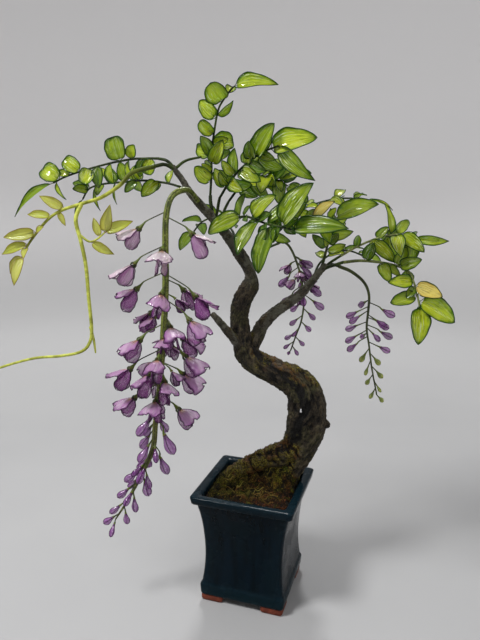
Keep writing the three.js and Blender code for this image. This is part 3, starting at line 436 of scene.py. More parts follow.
# x, y, z and the radius there, from the buried foot to the leader's tip
TRUNK = np.array([
    [25, 11, 84, 12], [31, 15, 108, 12], [36, 16, 128, 12.6], [42, 15, 146, 14.2], [51, 13, 168, 17.2],
    [56, 10, 194, 19], [55, 6, 219, 18.6], [43, 3, 240, 15.4], [21, 2, 252, 13.2], [1, 5, 260, 13.6],
    [-12, 9, 273, 12.8], [-18, 8, 293, 10], [-20, 5, 313, 8.6], [-16, 2, 331, 9], [-10, 1, 345, 8.6],
    [-9, 2, 357, 5.2], [-16, 2, 371, 6.2], [-26, 1, 386, 6.2], [-36, 0, 400, 5.4], [-47, -1, 413, 4.9],
    [-59, -2, 425, 4.2], [-69, -4, 436, 3.6], [-78, -5, 450, 2.9], [-88, -6, 464, 2.3],
])
# Woody side pieces: their route, and radius at the foot and the tip.
ROOT = ([[46, 13, 160], [30, 14, 153], [12, 15, 146], [-8, 15, 137], [-22, 14, 130], [-33, 12, 120]], (14, 7))
KNOB = ([[64, 7, 200], [78.5, 4, 191.5]], (7.5, 3.4))  # a cut side shoot's scar
RIGHT_BRANCH = ([[-10, 9, 272], [0, 13, 290], [6, 17, 302], [20, 21, 315], [42, 22, 331], [53, 20, 343],
                 [62, 14, 357], [69, 8, 367]], (8.4, 2.6))
STUB = ([[-8, 8, 270], [-21, 2, 283], [-30, -5, 295], [-38, -10, 306], [-47, -16, 318]], (5.6, 2.9))
TWIGS = [
    ([[-86, -6, 462], [-94, -5, 469], [-103, 0, 471]], (1.7, 1.4)),
    ([[-86, -6, 461], [-95, -10, 465], [-104, -13, 463]], (2.0, 1.8)),
    ([[-84, -6, 462], [-75, -5, 469], [-60, -1, 473]], (1.6, 1.1)),
    ([[-64, -2, 431], [-72, 5, 439], [-82, 13, 444]], (1.7, 1.3)),
    ([[-47, -1, 411], [-50, 0, 426], [-51, 2, 436]], (2.0, 1.7)),
    ([[-46, -1, 410], [-43, -7, 424], [-41, -12, 434]], (1.7, 1.4)),
    ([[-37, 0, 401], [-32, -10, 408], [-27, -20, 414]], (1.9, 1.5)),
    ([[-40, 0, 405], [-38, 10, 418], [-33, 20, 430]], (1.7, 1.4)),
    ([[-9, 2, 352], [-2, 9, 371], [5, 16, 387]], (2.1, 1.6)),
    ([[1, 12, 378], [10, 22, 392], [20, 31, 399]], (1.6, 1.3)),
    ([[-1, 10, 373], [9, 23, 382], [19, 33, 386]], (1.6, 1.3)),
    ([[66, 11, 362], [75, 8, 371], [84, 7, 377]], (1.6, 1.3)),
    ([[66, 11, 362], [75, 4, 367], [86, 1, 371]], (1.9, 1.6)),
    ([[66, 11, 362], [74, 15, 367], [84, 18, 365]], (1.8, 1.5)),
    ([[62, 14, 356], [66, 11, 368], [68, 9, 378]], (1.7, 1.4)),
]
TRUNK_TWIST = 9  # radians that the bark's strands wind from foot to tip
EYE = {"at": [48.7, 8, 207], "through": [0.11, 0.93, -0.35], "radius": 2.4}  # a gap between the strands
STRAND_TURN = 1.5  # where the crease between the strands runs
SKIN_CELL = 0.94  # size of the bark skin's faces
TRUNK_RINGS, TRUNK_SIDES = 260, 56
GRAIN_SHIFT = 400  # keeps the grain of one stem from repeating on the next
BARK_CLUMP = 4.2  # size of the moss's clumps on the bark
AT_ONCE = 4000  # points whose nearest stem is sought at one time


def trunk_radius(u):
    """The trunk's radius at u, from 0 at its foot to 1 at the leader's tip."""
    place = np.asarray(u, float) * (len(TRUNK) - 1)
    return np.interp(place, np.arange(len(TRUNK)), TRUNK[:, 3])


def bark_relief(angle, u):
    """Two fused strands with furrowed bark."""
    wound = angle - TRUNK_TWIST * u
    strands = 0.15 * np.cos(2 * wound) * (1 - 0.6 * u)
    furrows = 0.045 * np.cos(5 * wound + 2) + 0.03 * np.cos(7 * angle + 40 * u)
    return 1 + strands + furrows + 0.03 * np.sin(61 * u + 3 * angle)


def take_wood():
    """Keeps the room of the trunk and all that grows from it."""
    curve = Route(TRUNK[:, :3])
    u = np.linspace(0, 1, 71)
    tangents = curve.tangent(u)
    taken.append(skin(curve.at(u), tangents, square_to(START, tangents), trunk_radius(u), 6))
    for route, _ in [ROOT, KNOB, RIGHT_BRANCH, STUB, *TWIGS]:
        limb = Route(route)
        take_route(limb, limb.spans * 3)


def settled(made):
    """The mesh of an object with its modifiers, which is then removed."""
    bpy.context.view_layer.update()
    shape = made.evaluated_get(bpy.context.evaluated_depsgraph_get())
    mesh = bpy.data.meshes.new_from_object(shape)
    bpy.data.objects.remove(made)
    return mesh


def rough_wood():
    """Trunk, root, branch, stub and knob joined in one skin, with the eye through the trunk."""
    trunk = Stock()
    curve = Route(TRUNK[:, :3])
    u = np.linspace(0, 1, TRUNK_RINGS)
    tangents = curve.tangent(u)
    points = skin(curve.at(u), tangents, carried(START, tangents), trunk_radius(u), TRUNK_SIDES, bark_relief)
    trunk.add(np.vstack([points, curve.at(0), curve.at(1)]), capped(TRUNK_RINGS, TRUNK_SIDES))
    for (route, radii), sides in ((ROOT, 20), (RIGHT_BRANCH, 20), (STUB, 16), (KNOB, 12)):
        add_stem(trunk, route, radii, sides=sides)
    body = placed("wood", trunk.mesh("wood"))
    grown = body.modifiers.new("skin", "REMESH")
    grown.mode = "VOXEL"
    grown.voxel_size = SKIN_CELL * MM
    drill = Stock()
    middle, axis = np.array(EYE["at"], float), unit(EYE["through"])
    add_stem(drill, [middle - axis * 35, middle, middle + axis * 35], (EYE["radius"], EYE["radius"]), sides=14,
             relief=lambda a, u: 1 + 0.24 * np.cos(2 * a + 0.9) + 0.12 * np.cos(3 * a))
    cutter = placed("drill", drill.mesh("drill"))
    cut = body.modifiers.new("eye", "BOOLEAN")
    cut.object = cutter
    cut.operation = "DIFFERENCE"
    cut.solver = "MANIFOLD"
    mesh = settled(body)
    bpy.data.objects.remove(cutter)
    return mesh


def nearest_wood(points):
    """For each point of the bark: where it lies on the nearest stem's skin, as (around, around,
    along) in millimetres with the strands unwound, and that stem's radius there."""
    samples = []
    for route, radii, steps, twist in (
        (TRUNK[:, :3], None, 420, TRUNK_TWIST), (*ROOT, 60, 0.6), (*RIGHT_BRANCH, 120, 1.5), (*STUB, 50, 0.8)
    ):
        curve = Route(route)
        u = np.linspace(0, 1, steps)
        centres, tangents = curve.at(u), curve.tangent(u)
        across = carried(START, tangents)
        radius = trunk_radius(u) if radii is None else radii[0] + (radii[1] - radii[0]) * u
        extra = np.stack([radius, run_lengths(centres) + GRAIN_SHIFT * len(samples), twist * u], 1)
        samples.append(np.hstack([centres, across, np.cross(tangents, across), extra]))
    samples = np.vstack(samples)
    found = []
    for some in np.array_split(points, max(1, len(points) // AT_ONCE)):
        far = np.linalg.norm(some[:, None] - samples[None, :, :3], axis=-1) - samples[None, :, 9]
        best = samples[far.argmin(1)]
        away = some - best[:, :3]
        angle = np.arctan2((away * best[:, 6:9]).sum(1), (away * best[:, 3:6]).sum(1)) - best[:, 11]
        radius = best[:, 9]
        found.append(np.stack([radius * np.cos(angle), radius * np.sin(angle), best[:, 10], radius], 1))
    found = np.vstack(found)
    return found[:, :3], found[:, 3]


def mesh_arrays(mesh):
    """A mesh's points and the normals there."""
    points, normals = np.zeros(len(mesh.vertices) * 3), np.zeros(len(mesh.vertices) * 3)
    mesh.vertices.foreach_get("co", points)
    mesh.vertices.foreach_get("normal", normals)
    return points.reshape(-1, 3), normals.reshape(-1, 3)


def bark_clumps(view):
    x, y, z = view.T
    return clumps(x + 0.5 * z, y - 0.5 * z, BARK_CLUMP)


def bark_mesh():
    """The joined wood with ridges, plates and pits of bark, the crease between its two strands, and
    marks for its moss and its height."""
    mesh = rough_wood()
    mesh.materials.clear()
    points, normals = mesh_arrays(mesh)
    view = unframed(points)
    places, radius = nearest_wood(view)
    flow = places * [0.2, 0.2, 0.085]
    ridges = 1 - np.abs(lumps(flow * 1.1, 1) + 0.5 * lumps(flow * 2.3, 2)) * 2.2
    plates = lumps(places * [0.3, 0.3, 0.2], 3)
    pits = lumps(places * [0.62, 0.62, 0.5], 4)
    knots = lumps(places * [1.1, 1.1, 0.9], 5)
    amount = np.clip(radius / 12, 0.3, 1)
    rise = amount * (0.75 * np.clip(ridges, -1, 1) + 0.75 * plates + 0.6 * pits) + 0.4 * knots
    apart = -np.cos(2 * np.arctan2(places[:, 1], places[:, 0]) + STRAND_TURN + 0.5 * plates)
    rise -= 1.7 * smooth(0.72, 1.0, apart) * smooth(9.5, 12, radius)
    x, _, z = view.T
    shade = normals[:, 2]
    on_bend = smooth(222, 238, z) * smooth(275, 258, z) * smooth(-20, 0, x)
    on_fork = smooth(258, 270, z) * smooth(345, 300, z) * 0.62
    on_foot = smooth(190, 162, z) * smooth(58, 36, x)
    moss = (on_bend + on_fork) * smooth(-0.1, 0.75, shade) + 1.3 * on_foot * smooth(-0.95, -0.1, shade)
    moss = np.clip(moss * (0.75 + 0.6 * lumps(view * 0.13, 7)), 0, 1)
    near, _ = bark_clumps(view)
    rise += moss * (1.5 - 3.4 * near**2)
    points = points + normals * (rise * MM)[:, None]
    mesh.vertices.foreach_set("co", points.astype(np.float32).ravel())
    if "place" in mesh.attributes:
        mesh.attributes.remove(mesh.attributes["place"])
    # the height mark (rise) drives painted shade in the furrows and between the moss's clumps, and a painted highlight
    # on the ridges
    keep_marks(mesh, "place", np.stack([moss, np.clip(rise / 1.4, -1, 1), radius / 20], 1))
    keep_marks(mesh, "grain", places)
    mesh.update()
    mesh.shade_smooth()
    return mesh


# ---- fronds

# Each frond is a stalk with leaflets. A leaflet is (place along the stalk, angle from it in
# degrees, length, turn on its own rib, width as a share of the length if it isn't the frond's). tone
# runs from 0, yellow, to 1, deep green.
FRONDS = [
    {"name": "frond_left_upper", "face": [0, -1, 0.2], "width": 0.6, "seed": 11, "bend": 34, "tone": 0.5,
     "route": [[-103, 0, 471], [-118, 6, 471], [-133, 9, 470], [-162, 13, 464], [-195, 15, 454], [-212, 15, 446]],
     "leaves": [(0.09, 70, 17, 0, 0.85), (0.2, 78, 18, 40, 0.7), (0.36, -70, 15, 0, 0.8), (0.4, 84, 22, 45, 0.6),
                (0.47, -84, 25, 0, 0.9), (0.54, 80, 23, 50, 0.55), (0.67, 56, 19, 0, 0.8), (0.73, -60, 21, 0, 0.78),
                (0.91, -44, 22, 0, 0.85), (0.96, 84, 24, 60, 0.3), (1, 0, 54, 66, 0.3)]},
    {"name": "shoot_left_young", "face": [-0.2, -1, 0.1], "width": 0.36, "seed": 23, "bend": 22, "tone": 0.5,
     "route": [[-104, -13, 463], [-125, -22, 456], [-136, -28, 444], [-152, -34, 433], [-169, -38, 427],
               [-189, -42, 420], [-202, -46, 410], [-216, -50, 392], [-223, -54, 378]], "radii": (2.3, 1),
     "leaves": [(0.6, -48, 27), (0.7, -40, 23), (0.64, 46, 15), (0.82, -44, 33), (0.78, 38, 15), (0.9, -46, 29),
                (0.93, 40, 17), (1, 18, 31), (1, -18, 28)],
     "branches": [
         {"route": [[-170, -38, 427], [-175, -42, 412], [-170, -46, 392], [-165, -50, 368], [-163, -52, 338],
                    [-161, -54, 309], [-163, -56, 296], [-171, -58, 288], [-190, -60, 284], [-211, -64, 283],
                    [-229, -66, 279], [-246, -70, 274], [-262, -73, 269]], "radii": (2, 1.1)},
         {"route": [[-162, -54, 312], [-159, -54, 297], [-158, -54, 286]], "radii": (1.5, 0.8)},
         {"route": [[-172, -45, 399], [-163, -44, 392], [-156, -42, 394], [-149, -40, 400]], "radii": (1.2, 0.8),
          "leaves": [(0.42, -34, 25), (0.8, 66, 21), (1, -12, 28), (1, 24, 31)]},
     ]},
    {"name": "frond_left_lower", "face": [0, -1, 0.15], "width": 0.6, "seed": 37, "bend": 28, "tone": 0.48,
     "route": [[-82, 13, 444], [-99, 24, 448], [-123, 30, 450], [-145, 34, 448], [-165, 36, 446], [-180, 34, 441],
               [-187, 32, 430]],
     "leaves": [(0.13, -70, 17), (0.22, 44, 25, 0, 0.62), (0.34, -58, 20), (0.36, 68, 19, 0, 0.85), (0.46, -80, 22),
                (0.56, 78, 24, 60, 0.35), (0.62, -68, 24, 50), (0.75, 64, 27, 60, 0.35), (0.86, -50, 18),
                (1, 4, 28, 60, 0.4)]},
    {"name": "frond_crown_top", "face": [0, -1, 0.1], "width": 0.6, "seed": 41, "bend": 38, "tone": 0.45,
     "route": [[-51, 2, 436], [-50, 4, 458], [-50, 4, 478], [-47, 2, 500], [-43, 0, 519], [-35, -4, 531],
               [-29, -6, 538]],
     "leaves": [(0.1, 50, 23, 0, 0.65), (0.13, -58, 18), (0.22, 84, 17, 0, 0.8), (0.24, -34, 27, 0, 0.5),
                (0.33, 80, 16, 0, 0.85), (0.4, -62, 21, 0, 0.85), (0.46, 64, 18, 0, 0.7), (0.58, 70, 24, 0, 0.62),
                (0.6, -48, 21, 50, 0.4), (0.75, 62, 22, 0, 0.95), (0.86, 20, 13, 0, 0.8), (1, -30, 42, -55, 0.42)]},
    {"name": "frond_crown_upper", "face": [0.1, -1, 0.3], "width": 0.52, "seed": 59, "bend": 34, "tone": 0.55,
     "route": [[-41, -12, 434], [-32, -20, 448], [-22, -28, 460], [-10, -36, 470], [2, -44, 477], [13, -50, 481]],
     "leaves": [(0.14, 60, 22), (0.2, -56, 24), (0.34, 46, 24), (0.42, -56, 26), (0.52, 32, 30), (0.64, 22, 38),
                (0.68, -50, 26), (0.86, 2, 46), (1, -46, 50, 30, 0.34)]},
    {"name": "frond_crown_middle", "face": [0.1, -1, 0.4], "width": 0.54, "seed": 67, "bend": 30, "tone": 0.6,
     "route": [[-33, 20, 430], [-22, 14, 444], [-10, 4, 452], [2, -4, 455], [14, -10, 452], [24, -14, 447]],
     "leaves": [(0.12, 64, 22), (0.18, -56, 22), (0.34, 56, 24), (0.42, -62, 27), (0.56, 42, 28), (0.64, -66, 27),
                (0.8, 44, 35), (0.86, -60, 24), (1, 0, 26)]},
    {"name": "frond_crown_front", "face": [0, -1, 0.35], "width": 0.48, "seed": 73, "bend": 24, "tone": 0.78,
     "route": [[-27, -20, 414], [-15, -32, 417], [-4, -45, 414], [6, -58, 411], [14, -66, 410], [25, -76, 408]],
     "leaves": [(0.08, 76, 26), (0.14, -160, 47), (0.3, 60, 31, 0, 0.6), (0.4, -78, 38), (0.56, 64, 38),
                (0.7, -90, 44), (0.84, 58, 49), (1, 22, 52, 0, 0.4)]},
    {"name": "frond_crown_right", "face": [0, -1, 0.5], "width": 0.46, "seed": 83, "bend": 26, "tone": 0.66,
     "route": [[5, 16, 387], [16, 10, 400], [30, 4, 409], [46, -6, 413], [60, -14, 415], [71, -20, 416]],
     "leaves": [(0.16, -66, 22), (0.22, 56, 24), (0.42, 52, 30), (0.5, -60, 24), (0.68, 40, 28), (0.78, -48, 26),
                (1, 12, 44)]},
    {"name": "frond_back", "face": [0.1, -0.5, 1], "width": 0.5, "seed": 97, "bend": 40, "tone": 0.42,
     "route": [[20, 31, 399], [33, 39, 411], [49, 47, 424], [77, 54, 433], [100, 60, 435], [119, 64, 433]],
     "leaves": [(0.12, -52, 24), (0.2, 48, 26), (0.4, -56, 20), (0.44, 54, 22), (0.62, -54, 20), (0.66, 52, 22),
                (0.84, -44, 18), (0.87, 44, 20), (1, -6, 31, 0, 0.3)]},
    {"name": "frond_rear_left", "face": [0.2, 0.6, 0.8], "width": 0.5, "seed": 101, "bend": 34, "tone": 0.55,
     "route": [[-24, 3, 393], [-30, 20, 402], [-38, 38, 410], [-50, 54, 412], [-64, 66, 406], [-74, 74, 394]],
     "leaves": [(0.28, 58, 22), (0.34, -58, 22), (0.52, 56, 26), (0.58, -56, 26), (0.78, 46, 24), (0.84, -46, 24),
                (1, 0, 28)]},
    {"name": "frond_right_twig", "face": [0.1, -1, 0.3], "width": 0.4, "seed": 109, "bend": 30, "tone": 0.5,
     "route": [[68, 9, 378], [70, 9, 388], [72, 10, 398], [74, 11, 408]],
     "leaves": [(0.12, -62, 25), (0.3, 50, 17), (0.55, -64, 25), (0.9, -46, 26), (1, 14, 18)]},
    {"name": "frond_right_upper", "face": [0, -1, 0.25], "width": 0.48, "seed": 127, "bend": 34, "tone": 0.5,
     "route": [[84, 7, 377], [100, 5, 387], [119, 2, 396], [130, 0, 399], [141, -2, 400], [156, -4, 397]],
     "leaves": [(0.34, -66, 36, 0, 0.4), (0.56, -80, 30), (0.64, 78, 36, 40, 0.32), (0.74, -88, 32, 0, 0.44),
                (0.8, -40, 32), (0.9, 24, 26, 30), (0.94, -74, 34, 0, 0.44), (1, -2, 34, 20, 0.3)]},
    {"name": "frond_right_lower", "face": [0, -1, 0.15], "width": 0.52, "seed": 131, "bend": 22, "tone": 0.55,
     "route": [[86, 1, 371], [100, -1, 373], [113, -4, 373], [131, -9, 371], [147, -16, 366], [153, -22, 354],
               [156, -27, 342], [158, -30, 332]], "radii": (1.7, 0.9),
     "leaves": [(0.36, -52, 24), (0.5, 30, 24), (0.56, -44, 26), (0.7, -104, 26), (0.74, 46, 28), (0.85, -86, 29),
                (0.92, 55, 42, 0, 0.56), (0.97, 26, 28), (1, -17, 38, 0, 0.5)]},
    {"name": "frond_right_rear", "face": [0.1, 0.2, 1], "width": 0.48, "seed": 139, "bend": 32, "tone": 0.5,
     "route": [[58, 19, 352], [66, 34, 366], [82, 46, 376], [100, 54, 378], [118, 60, 372]],
     "leaves": [(0.34, 56, 22), (0.4, -56, 22), (0.62, 54, 24), (0.68, -54, 24), (0.9, -46, 22), (1, 6, 26)]},
]
YOUNG = "shoot_left_young"
DRESS_SEED, SMALL_SEED = 500, 900  # added to a frond's seed for its films and for its small leaflets
# How a leaflet may turn aside and lift, in degrees, to keep clear of its neighbours.
TURNS = [
    (0, 0), (0, 14), (0, -14), (12, 0), (-12, 0), (12, 24), (-12, -24), (0, 34), (0, -34), (24, 12), (-24, -12),
    (0, 55), (0, -55), (36, 0), (-36, 0),
]
RIPE_LEAVES = [("frond_crown_right", (0.68, 40, 28)), ("frond_right_lower", (0.74, 46, 28))]  # gone yellow
PALE_STALKS = {"frond_right_upper": 0.95, "frond_right_lower": 0.55, "frond_right_twig": 0.25}
# How many small leaflets fill in between a frond's own, and how far along it they reach.
SMALL_LEAVES = {"frond_crown_top": (5, 0.5), "frond_crown_upper": (9, 0.8), "frond_crown_middle": (13, 0.95),
                "frond_crown_front": (11, 0.9), "frond_crown_right": (7, 0.95), "frond_back": (6, 0.9),
                "frond_left_upper": (4, 0.8), "frond_left_lower": (6, 0.9), "frond_right_twig": (4, 0.9),
                "frond_right_upper": (8, 0.95), "frond_right_lower": (4, 0.8)}
CHECK_S, CHECK_W = np.meshgrid([0.35, 0.55, 0.75, 1], [-0.95, -0.35, 0.35, 0.95], indexing="ij")


def leaflet_kind(wide):
    """Narrow leaflets taper to drawn-out tips, and broad ones are round at both ends."""
    if wide < 0.45:
        return NARROW_LEAFLET
    return ROUND_LEAFLET if wide > 0.68 else LEAFLET


def leaflet_ways(root, tangent, leaf, draws, frond):
    """The ways that a leaflet may stand, each with points spread over it."""
    angle, length = leaf[1:3]
    roll = leaf[3] if len(leaf) > 3 else 0
    wide = leaf[4] if len(leaf) > 4 else frond["width"]
    longer, aside_draw, lift_draw, roll_draw = draws
    up0 = square_to(np.array(frond["face"], float), tangent)
    size = length * (0.94 + 0.12 * longer)
    for turn, lift in TURNS:
        out = turned(tangent, up0, math.radians(angle + turn + 10 * (aside_draw - 0.5)))
        hinge = np.cross(out, up0)
        raised = math.radians(lift + 10 + 26 * (lift_draw - 0.5))
        out = turned(out, hinge, raised)
        up = square_to(turned(up0, hinge, raised), out)
        up = turned(up, out, math.radians(roll + 36 * (roll_draw - 0.5)))
        blade = {"root": root, "out": out, "up": up, "length": size, "width": size * wide,
                 "bend": math.radians(frond["bend"]), "kind": leaflet_kind(wide)}
        yield blade, blade_at(blade, CHECK_S, CHECK_W)[0].reshape(-1, 3)


def leaflets_on(route, leaves, frond, draw):
    """The blades of a stalk's leaflets, each clear of what already stands."""
    curve = Route(route)
    take_route(curve, curve.spans * 4)
    made = []
    for leaf in leaves:
        root, tangent = curve.at(leaf[0]), curve.tangent(leaf[0])
        made.append(first_clear(leaflet_ways(root, tangent, leaf, four(draw), frond), LEAF_ROOM))
    return made


def crumple(s, w, coarse, seed):
    """Uneven lumps over a film."""
    spots = np.column_stack([np.ravel(s) * coarse, np.ravel(w) * coarse * 0.8, np.full(np.size(s), seed)])
    return lumps(spots, 51).reshape(np.shape(s))


def leaf_relief(blade, draw):
    """A film swells between its long veins, is a little crumpled and waves at its edge."""
    swell, phase, seed = 0.1 + 0.65 * next(draw) ** 2, 6 * next(draw), 40 * next(draw)
    size = blade["length"] / 40

    def relief(s, w):
        inner = np.sin(math.pi * np.clip(s, 0, 1)) ** 0.6 * (1 - np.abs(w) ** 6)
        pillows = swell * np.abs(np.sin(1.8 * math.pi * w + 0.9 * np.sin(4 * s + phase) + phase)) * inner
        wave = 1.0 * np.sin(7 * s + phase + 1.3 * np.sign(w)) * np.abs(w) ** 2 * np.sin(math.pi * s)
        return size * (pillows + wave + 0.6 * crumple(s, w, 3.6, seed) * inner)

    return relief


def add_leaflet(films, wires, blade, tone, draw, cells, rim, rib, uneven):
    """A leaflet, drawn in to a short stalk and a little uneven in outline."""
    add_blade(films, wires, blade, tone, leaf_relief(blade, draw), wire_finish=1, cells=cells, rim=rim, rib=rib,
              stalked=0.07, first=0.09, ragged=(uneven, 6 * tone))


def add_frond(frond):
    """A stalk with its side stalks and leaflets."""
    name = frond["name"]
    draw, dress = seeded_draws(frond["seed"]), seeded_draws(frond["seed"] + DRESS_SEED)
    films, wires = Stock(), Stock()
    young = name == YOUNG
    for stalk in [frond, *frond.get("branches", [])]:
        pale = 0.9 if young and stalk is not frond else PALE_STALKS.get(name, 0)
        add_stem(wires, stalk["route"], stalk.get("radii", (1.3, 0.9)), start=frond["face"], tone=pale,
                 relief=ribbed(0.05, 3, 30))
        leaves = stalk.get("leaves", [])
        for leaf, blade in zip(leaves, leaflets_on(stalk["route"], leaves, frond, draw)):
            tone = np.clip(frond["tone"] + 0.4 * (next(dress) - 0.5), 0, 1)
            tone = 0.06 if (name, leaf) in RIPE_LEAVES else tone
            add_leaflet(films, wires, blade, tone, dress, (16, 19), 0.26 if young else 0.37, 0.26, 0.035)
    films.as_piece(name + "_films", [YOUNG_FILM if young else LEAF_FILM],
                "young_leaf_resin" if young else "leaf_resin", [name])
    wires.as_piece(name + "_wires", [YOUNG_STEM, YOUNG_RIM] if young else [FROND_STEM, LEAF_RIM], "green_stem", [name])


def add_small_leaves(frond, count, reach):
    """Small leaflets that fill in between a frond's own."""
    draw = seeded_draws(frond["seed"] + SMALL_SEED)
    films, wires = Stock(), Stock()
    curve = Route(frond["route"])
    for k in range(count):
        u = 0.12 + (reach - 0.12) * (k + next(draw)) / count
        angle = (-1 if k % 2 else 1) * (30 + 50 * next(draw))
        leaf = (u, angle, 12 + 11 * next(draw), 0, 0.46 + 0.2 * next(draw))
        blade = first_clear(leaflet_ways(curve.at(u), curve.tangent(u), leaf, four(draw), frond), SMALL_ROOM)
        tone = np.clip(frond["tone"] + 0.1 + 0.5 * (next(draw) - 0.5), 0, 1)
        add_leaflet(films, wires, blade, tone, draw, (12, 13), 0.31, 0.22, 0.04)
    name = frond["name"] + "_small"
    films.as_piece(name + "_films", [LEAF_FILM], "leaf_resin")
    wires.as_piece(name + "_wires", [FROND_STEM, LEAF_RIM], "green_stem")


# ---- racemes

# Florets hang on stalklets round a raceme's stem: (place along it, direction round it in degrees
# from the right towards the back, stalklet, size, kind).
OPEN, BUD, GREEN = "open", "bud", "green"
ROUND = [0, 12, -12, 24, -24, 38, -38, 54, -54, 75, -75]  # turns that may bring a floret clear
STALKLET = 0.6  # radius of a floret's stalklet
STALKLET_RINGS, STALKLET_SIDES, TEETH = 22, 8, 5
GREEN_SPLAY = 38  # degrees that a raceme's unripe buds lean from its stem
CUP, SMALL_CUP, BUD_FOOT = 6.5, 2.5, 2.0  # length of an open floret's cup, a small one's and a bud's foot
MAIN_RACEME = {
    "name": "raceme_main", "radii": (2.6, 3.1, 3.2, 2.8, 0.9), "splay": 32,
    "route": [[-63, -5, 430], [-70, -14, 440], [-79, -24, 440], [-87, -30, 433], [-91, -34, 416], [-92, -34, 390],
              [-92, -34, 361], [-93, -34, 330], [-95, -34, 300], [-97, -34, 271], [-100, -34, 240], [-104, -34, 209],
              [-107, -34, 180], [-116, -34, 158], [-126, -34, 137], [-137, -34, 116], [-148, -34, 98]],
    "florets": [
        (0.235, 175, 34, 25, OPEN), (0.25, -12, 32, 27, OPEN), (0.305, -95, 17, 28, OPEN), (0.315, 186, 38, 27, OPEN),
        (0.37, 176, 36, 26, OPEN), (0.375, -22, 40, 27, OPEN), (0.385, 40, 26, 25, OPEN), (0.395, -100, 16, 27, OPEN),
        (0.425, -30, 36, 28, OPEN), (0.435, 150, 22, 25, OPEN), (0.455, -65, 20, 26, OPEN),
        (0.475, 200, 30, 27, OPEN), (0.485, 20, 24, 26, OPEN), (0.5, 100, 20, 24, OPEN), (0.51, -20, 30, 27, OPEN),
        (0.525, -100, 19, 26, OPEN), (0.53, 190, 40, 27, OPEN), (0.55, 212, 26, 25, OPEN), (0.56, 5, 26, 26, OPEN),
        (0.575, -70, 18, 25, OPEN), (0.59, 120, 20, 24, OPEN), (0.605, 180, 32, 25, OPEN), (0.62, -100, 15, 25, OPEN),
        (0.63, -15, 26, 25, OPEN), (0.66, 200, 14, 20, BUD), (0.68, -10, 20, 22, BUD), (0.7, 150, 15, 18, BUD),
        (0.72, 210, 13, 18, BUD), (0.74, -10, 17, 18, BUD), (0.77, 120, 13, 17, BUD), (0.785, -90, 10, 17, BUD),
        (0.8, 190, 14, 16, BUD), (0.83, 10, 12, 17, BUD), (0.86, 185, 14, 14, BUD), (0.89, -20, 9, 14, BUD),
        (0.92, 190, 12, 13, BUD), (0.945, 0, 9, 12, BUD), (0.975, 170, 9, 13, BUD), (1, -60, 5, 13, BUD),
    ],
}
BUD_RACEMES = [
    {"name": "raceme_right", "radii": (1.9, 0.8), "splay": 64,
     "route": [[84, 18, 365], [98, 19, 359], [112, 20, 348], [118, 20, 335], [118, 18, 318], [117, 16, 299],
               [120, 14, 281], [124, 12, 257], [131, 10, 226]],
     "florets": [
         (0.42, 110, 9, 13, BUD), (0.44, -10, 17, 14, BUD), (0.47, 185, 15, 12, BUD), (0.5, 205, 14, 13, BUD),
         (0.53, -35, 12, 13, BUD), (0.55, 15, 16, 13, BUD), (0.58, 160, 13, 12, BUD), (0.6, -5, 18, 13, BUD),
         (0.62, -60, 12, 12, BUD), (0.64, 190, 15, 12, BUD), (0.66, 100, 10, 12, BUD), (0.69, 200, 17, 12, BUD),
         (0.73, 0, 14, 12, BUD), (0.77, 180, 8, 10, GREEN), (0.8, 10, 8, 10, GREEN), (0.84, 215, 9, 9, GREEN),
         (0.87, -10, 9, 9, GREEN), (0.91, 150, 7, 8, GREEN), (0.94, -60, 6, 8, GREEN), (0.97, 190, 5, 8, GREEN),
         (1, 20, 4, 8, GREEN),
     ]},
    {"name": "raceme_back", "radii": (1.5, 0.8), "splay": 52,
     "route": [[19, 33, 386], [26, 38, 388], [33, 41, 383], [40, 42, 370], [47, 42, 350], [51, 40, 326],
               [49, 38, 302], [43, 36, 284], [38, 36, 268]],
     "florets": [
         (0.36, 10, 9, 15, BUD), (0.4, -60, 10, 16, BUD), (0.44, 185, 16, 14, BUD), (0.46, 25, 10, 16, BUD),
         (0.5, 95, 12, 14, BUD), (0.52, -30, 12, 16, BUD), (0.55, 190, 18, 14, BUD), (0.57, -100, 12, 14, BUD),
         (0.6, 0, 14, 14, BUD), (0.64, 150, 9, 11, BUD), (0.68, -20, 8, 10, BUD), (0.72, 195, 8, 10, BUD),
         (0.76, 20, 7, 10, BUD), (0.8, -120, 7, 9, BUD), (0.84, 180, 7, 9, BUD), (0.88, 0, 6, 8, BUD),
         (0.92, 200, 6, 8, BUD), (0.96, -40, 5, 8, BUD), (1, 90, 4, 8, BUD),
     ]},
]
# A raceme's small florets: how many, from where to where along it they start, where the open ones
# give way to buds, and their size.
SMALL_BLOOMS = [(MAIN_RACEME, 16, 0.4, 0.9, 0.66, 16), (BUD_RACEMES[1], 8, 0.34, 0.6, 1, 12)]
PALE_FLORETS = 4  # the first ones, which have opened longest
BLOOM_SEED, SMALL_BLOOM_SEED, BUD_SEED = 907, 417, 1300
BUD_RINGS, BUD_SIDES = 13, 12
DOWN = np.array([0.0, 0, -1])
PETAL_S, PETAL_W = np.array([[0.5, 0.9], [0.5, -0.9], [0.8, 0.95], [0.8, -0.95], [0.65, 0], [1, 0]]).T


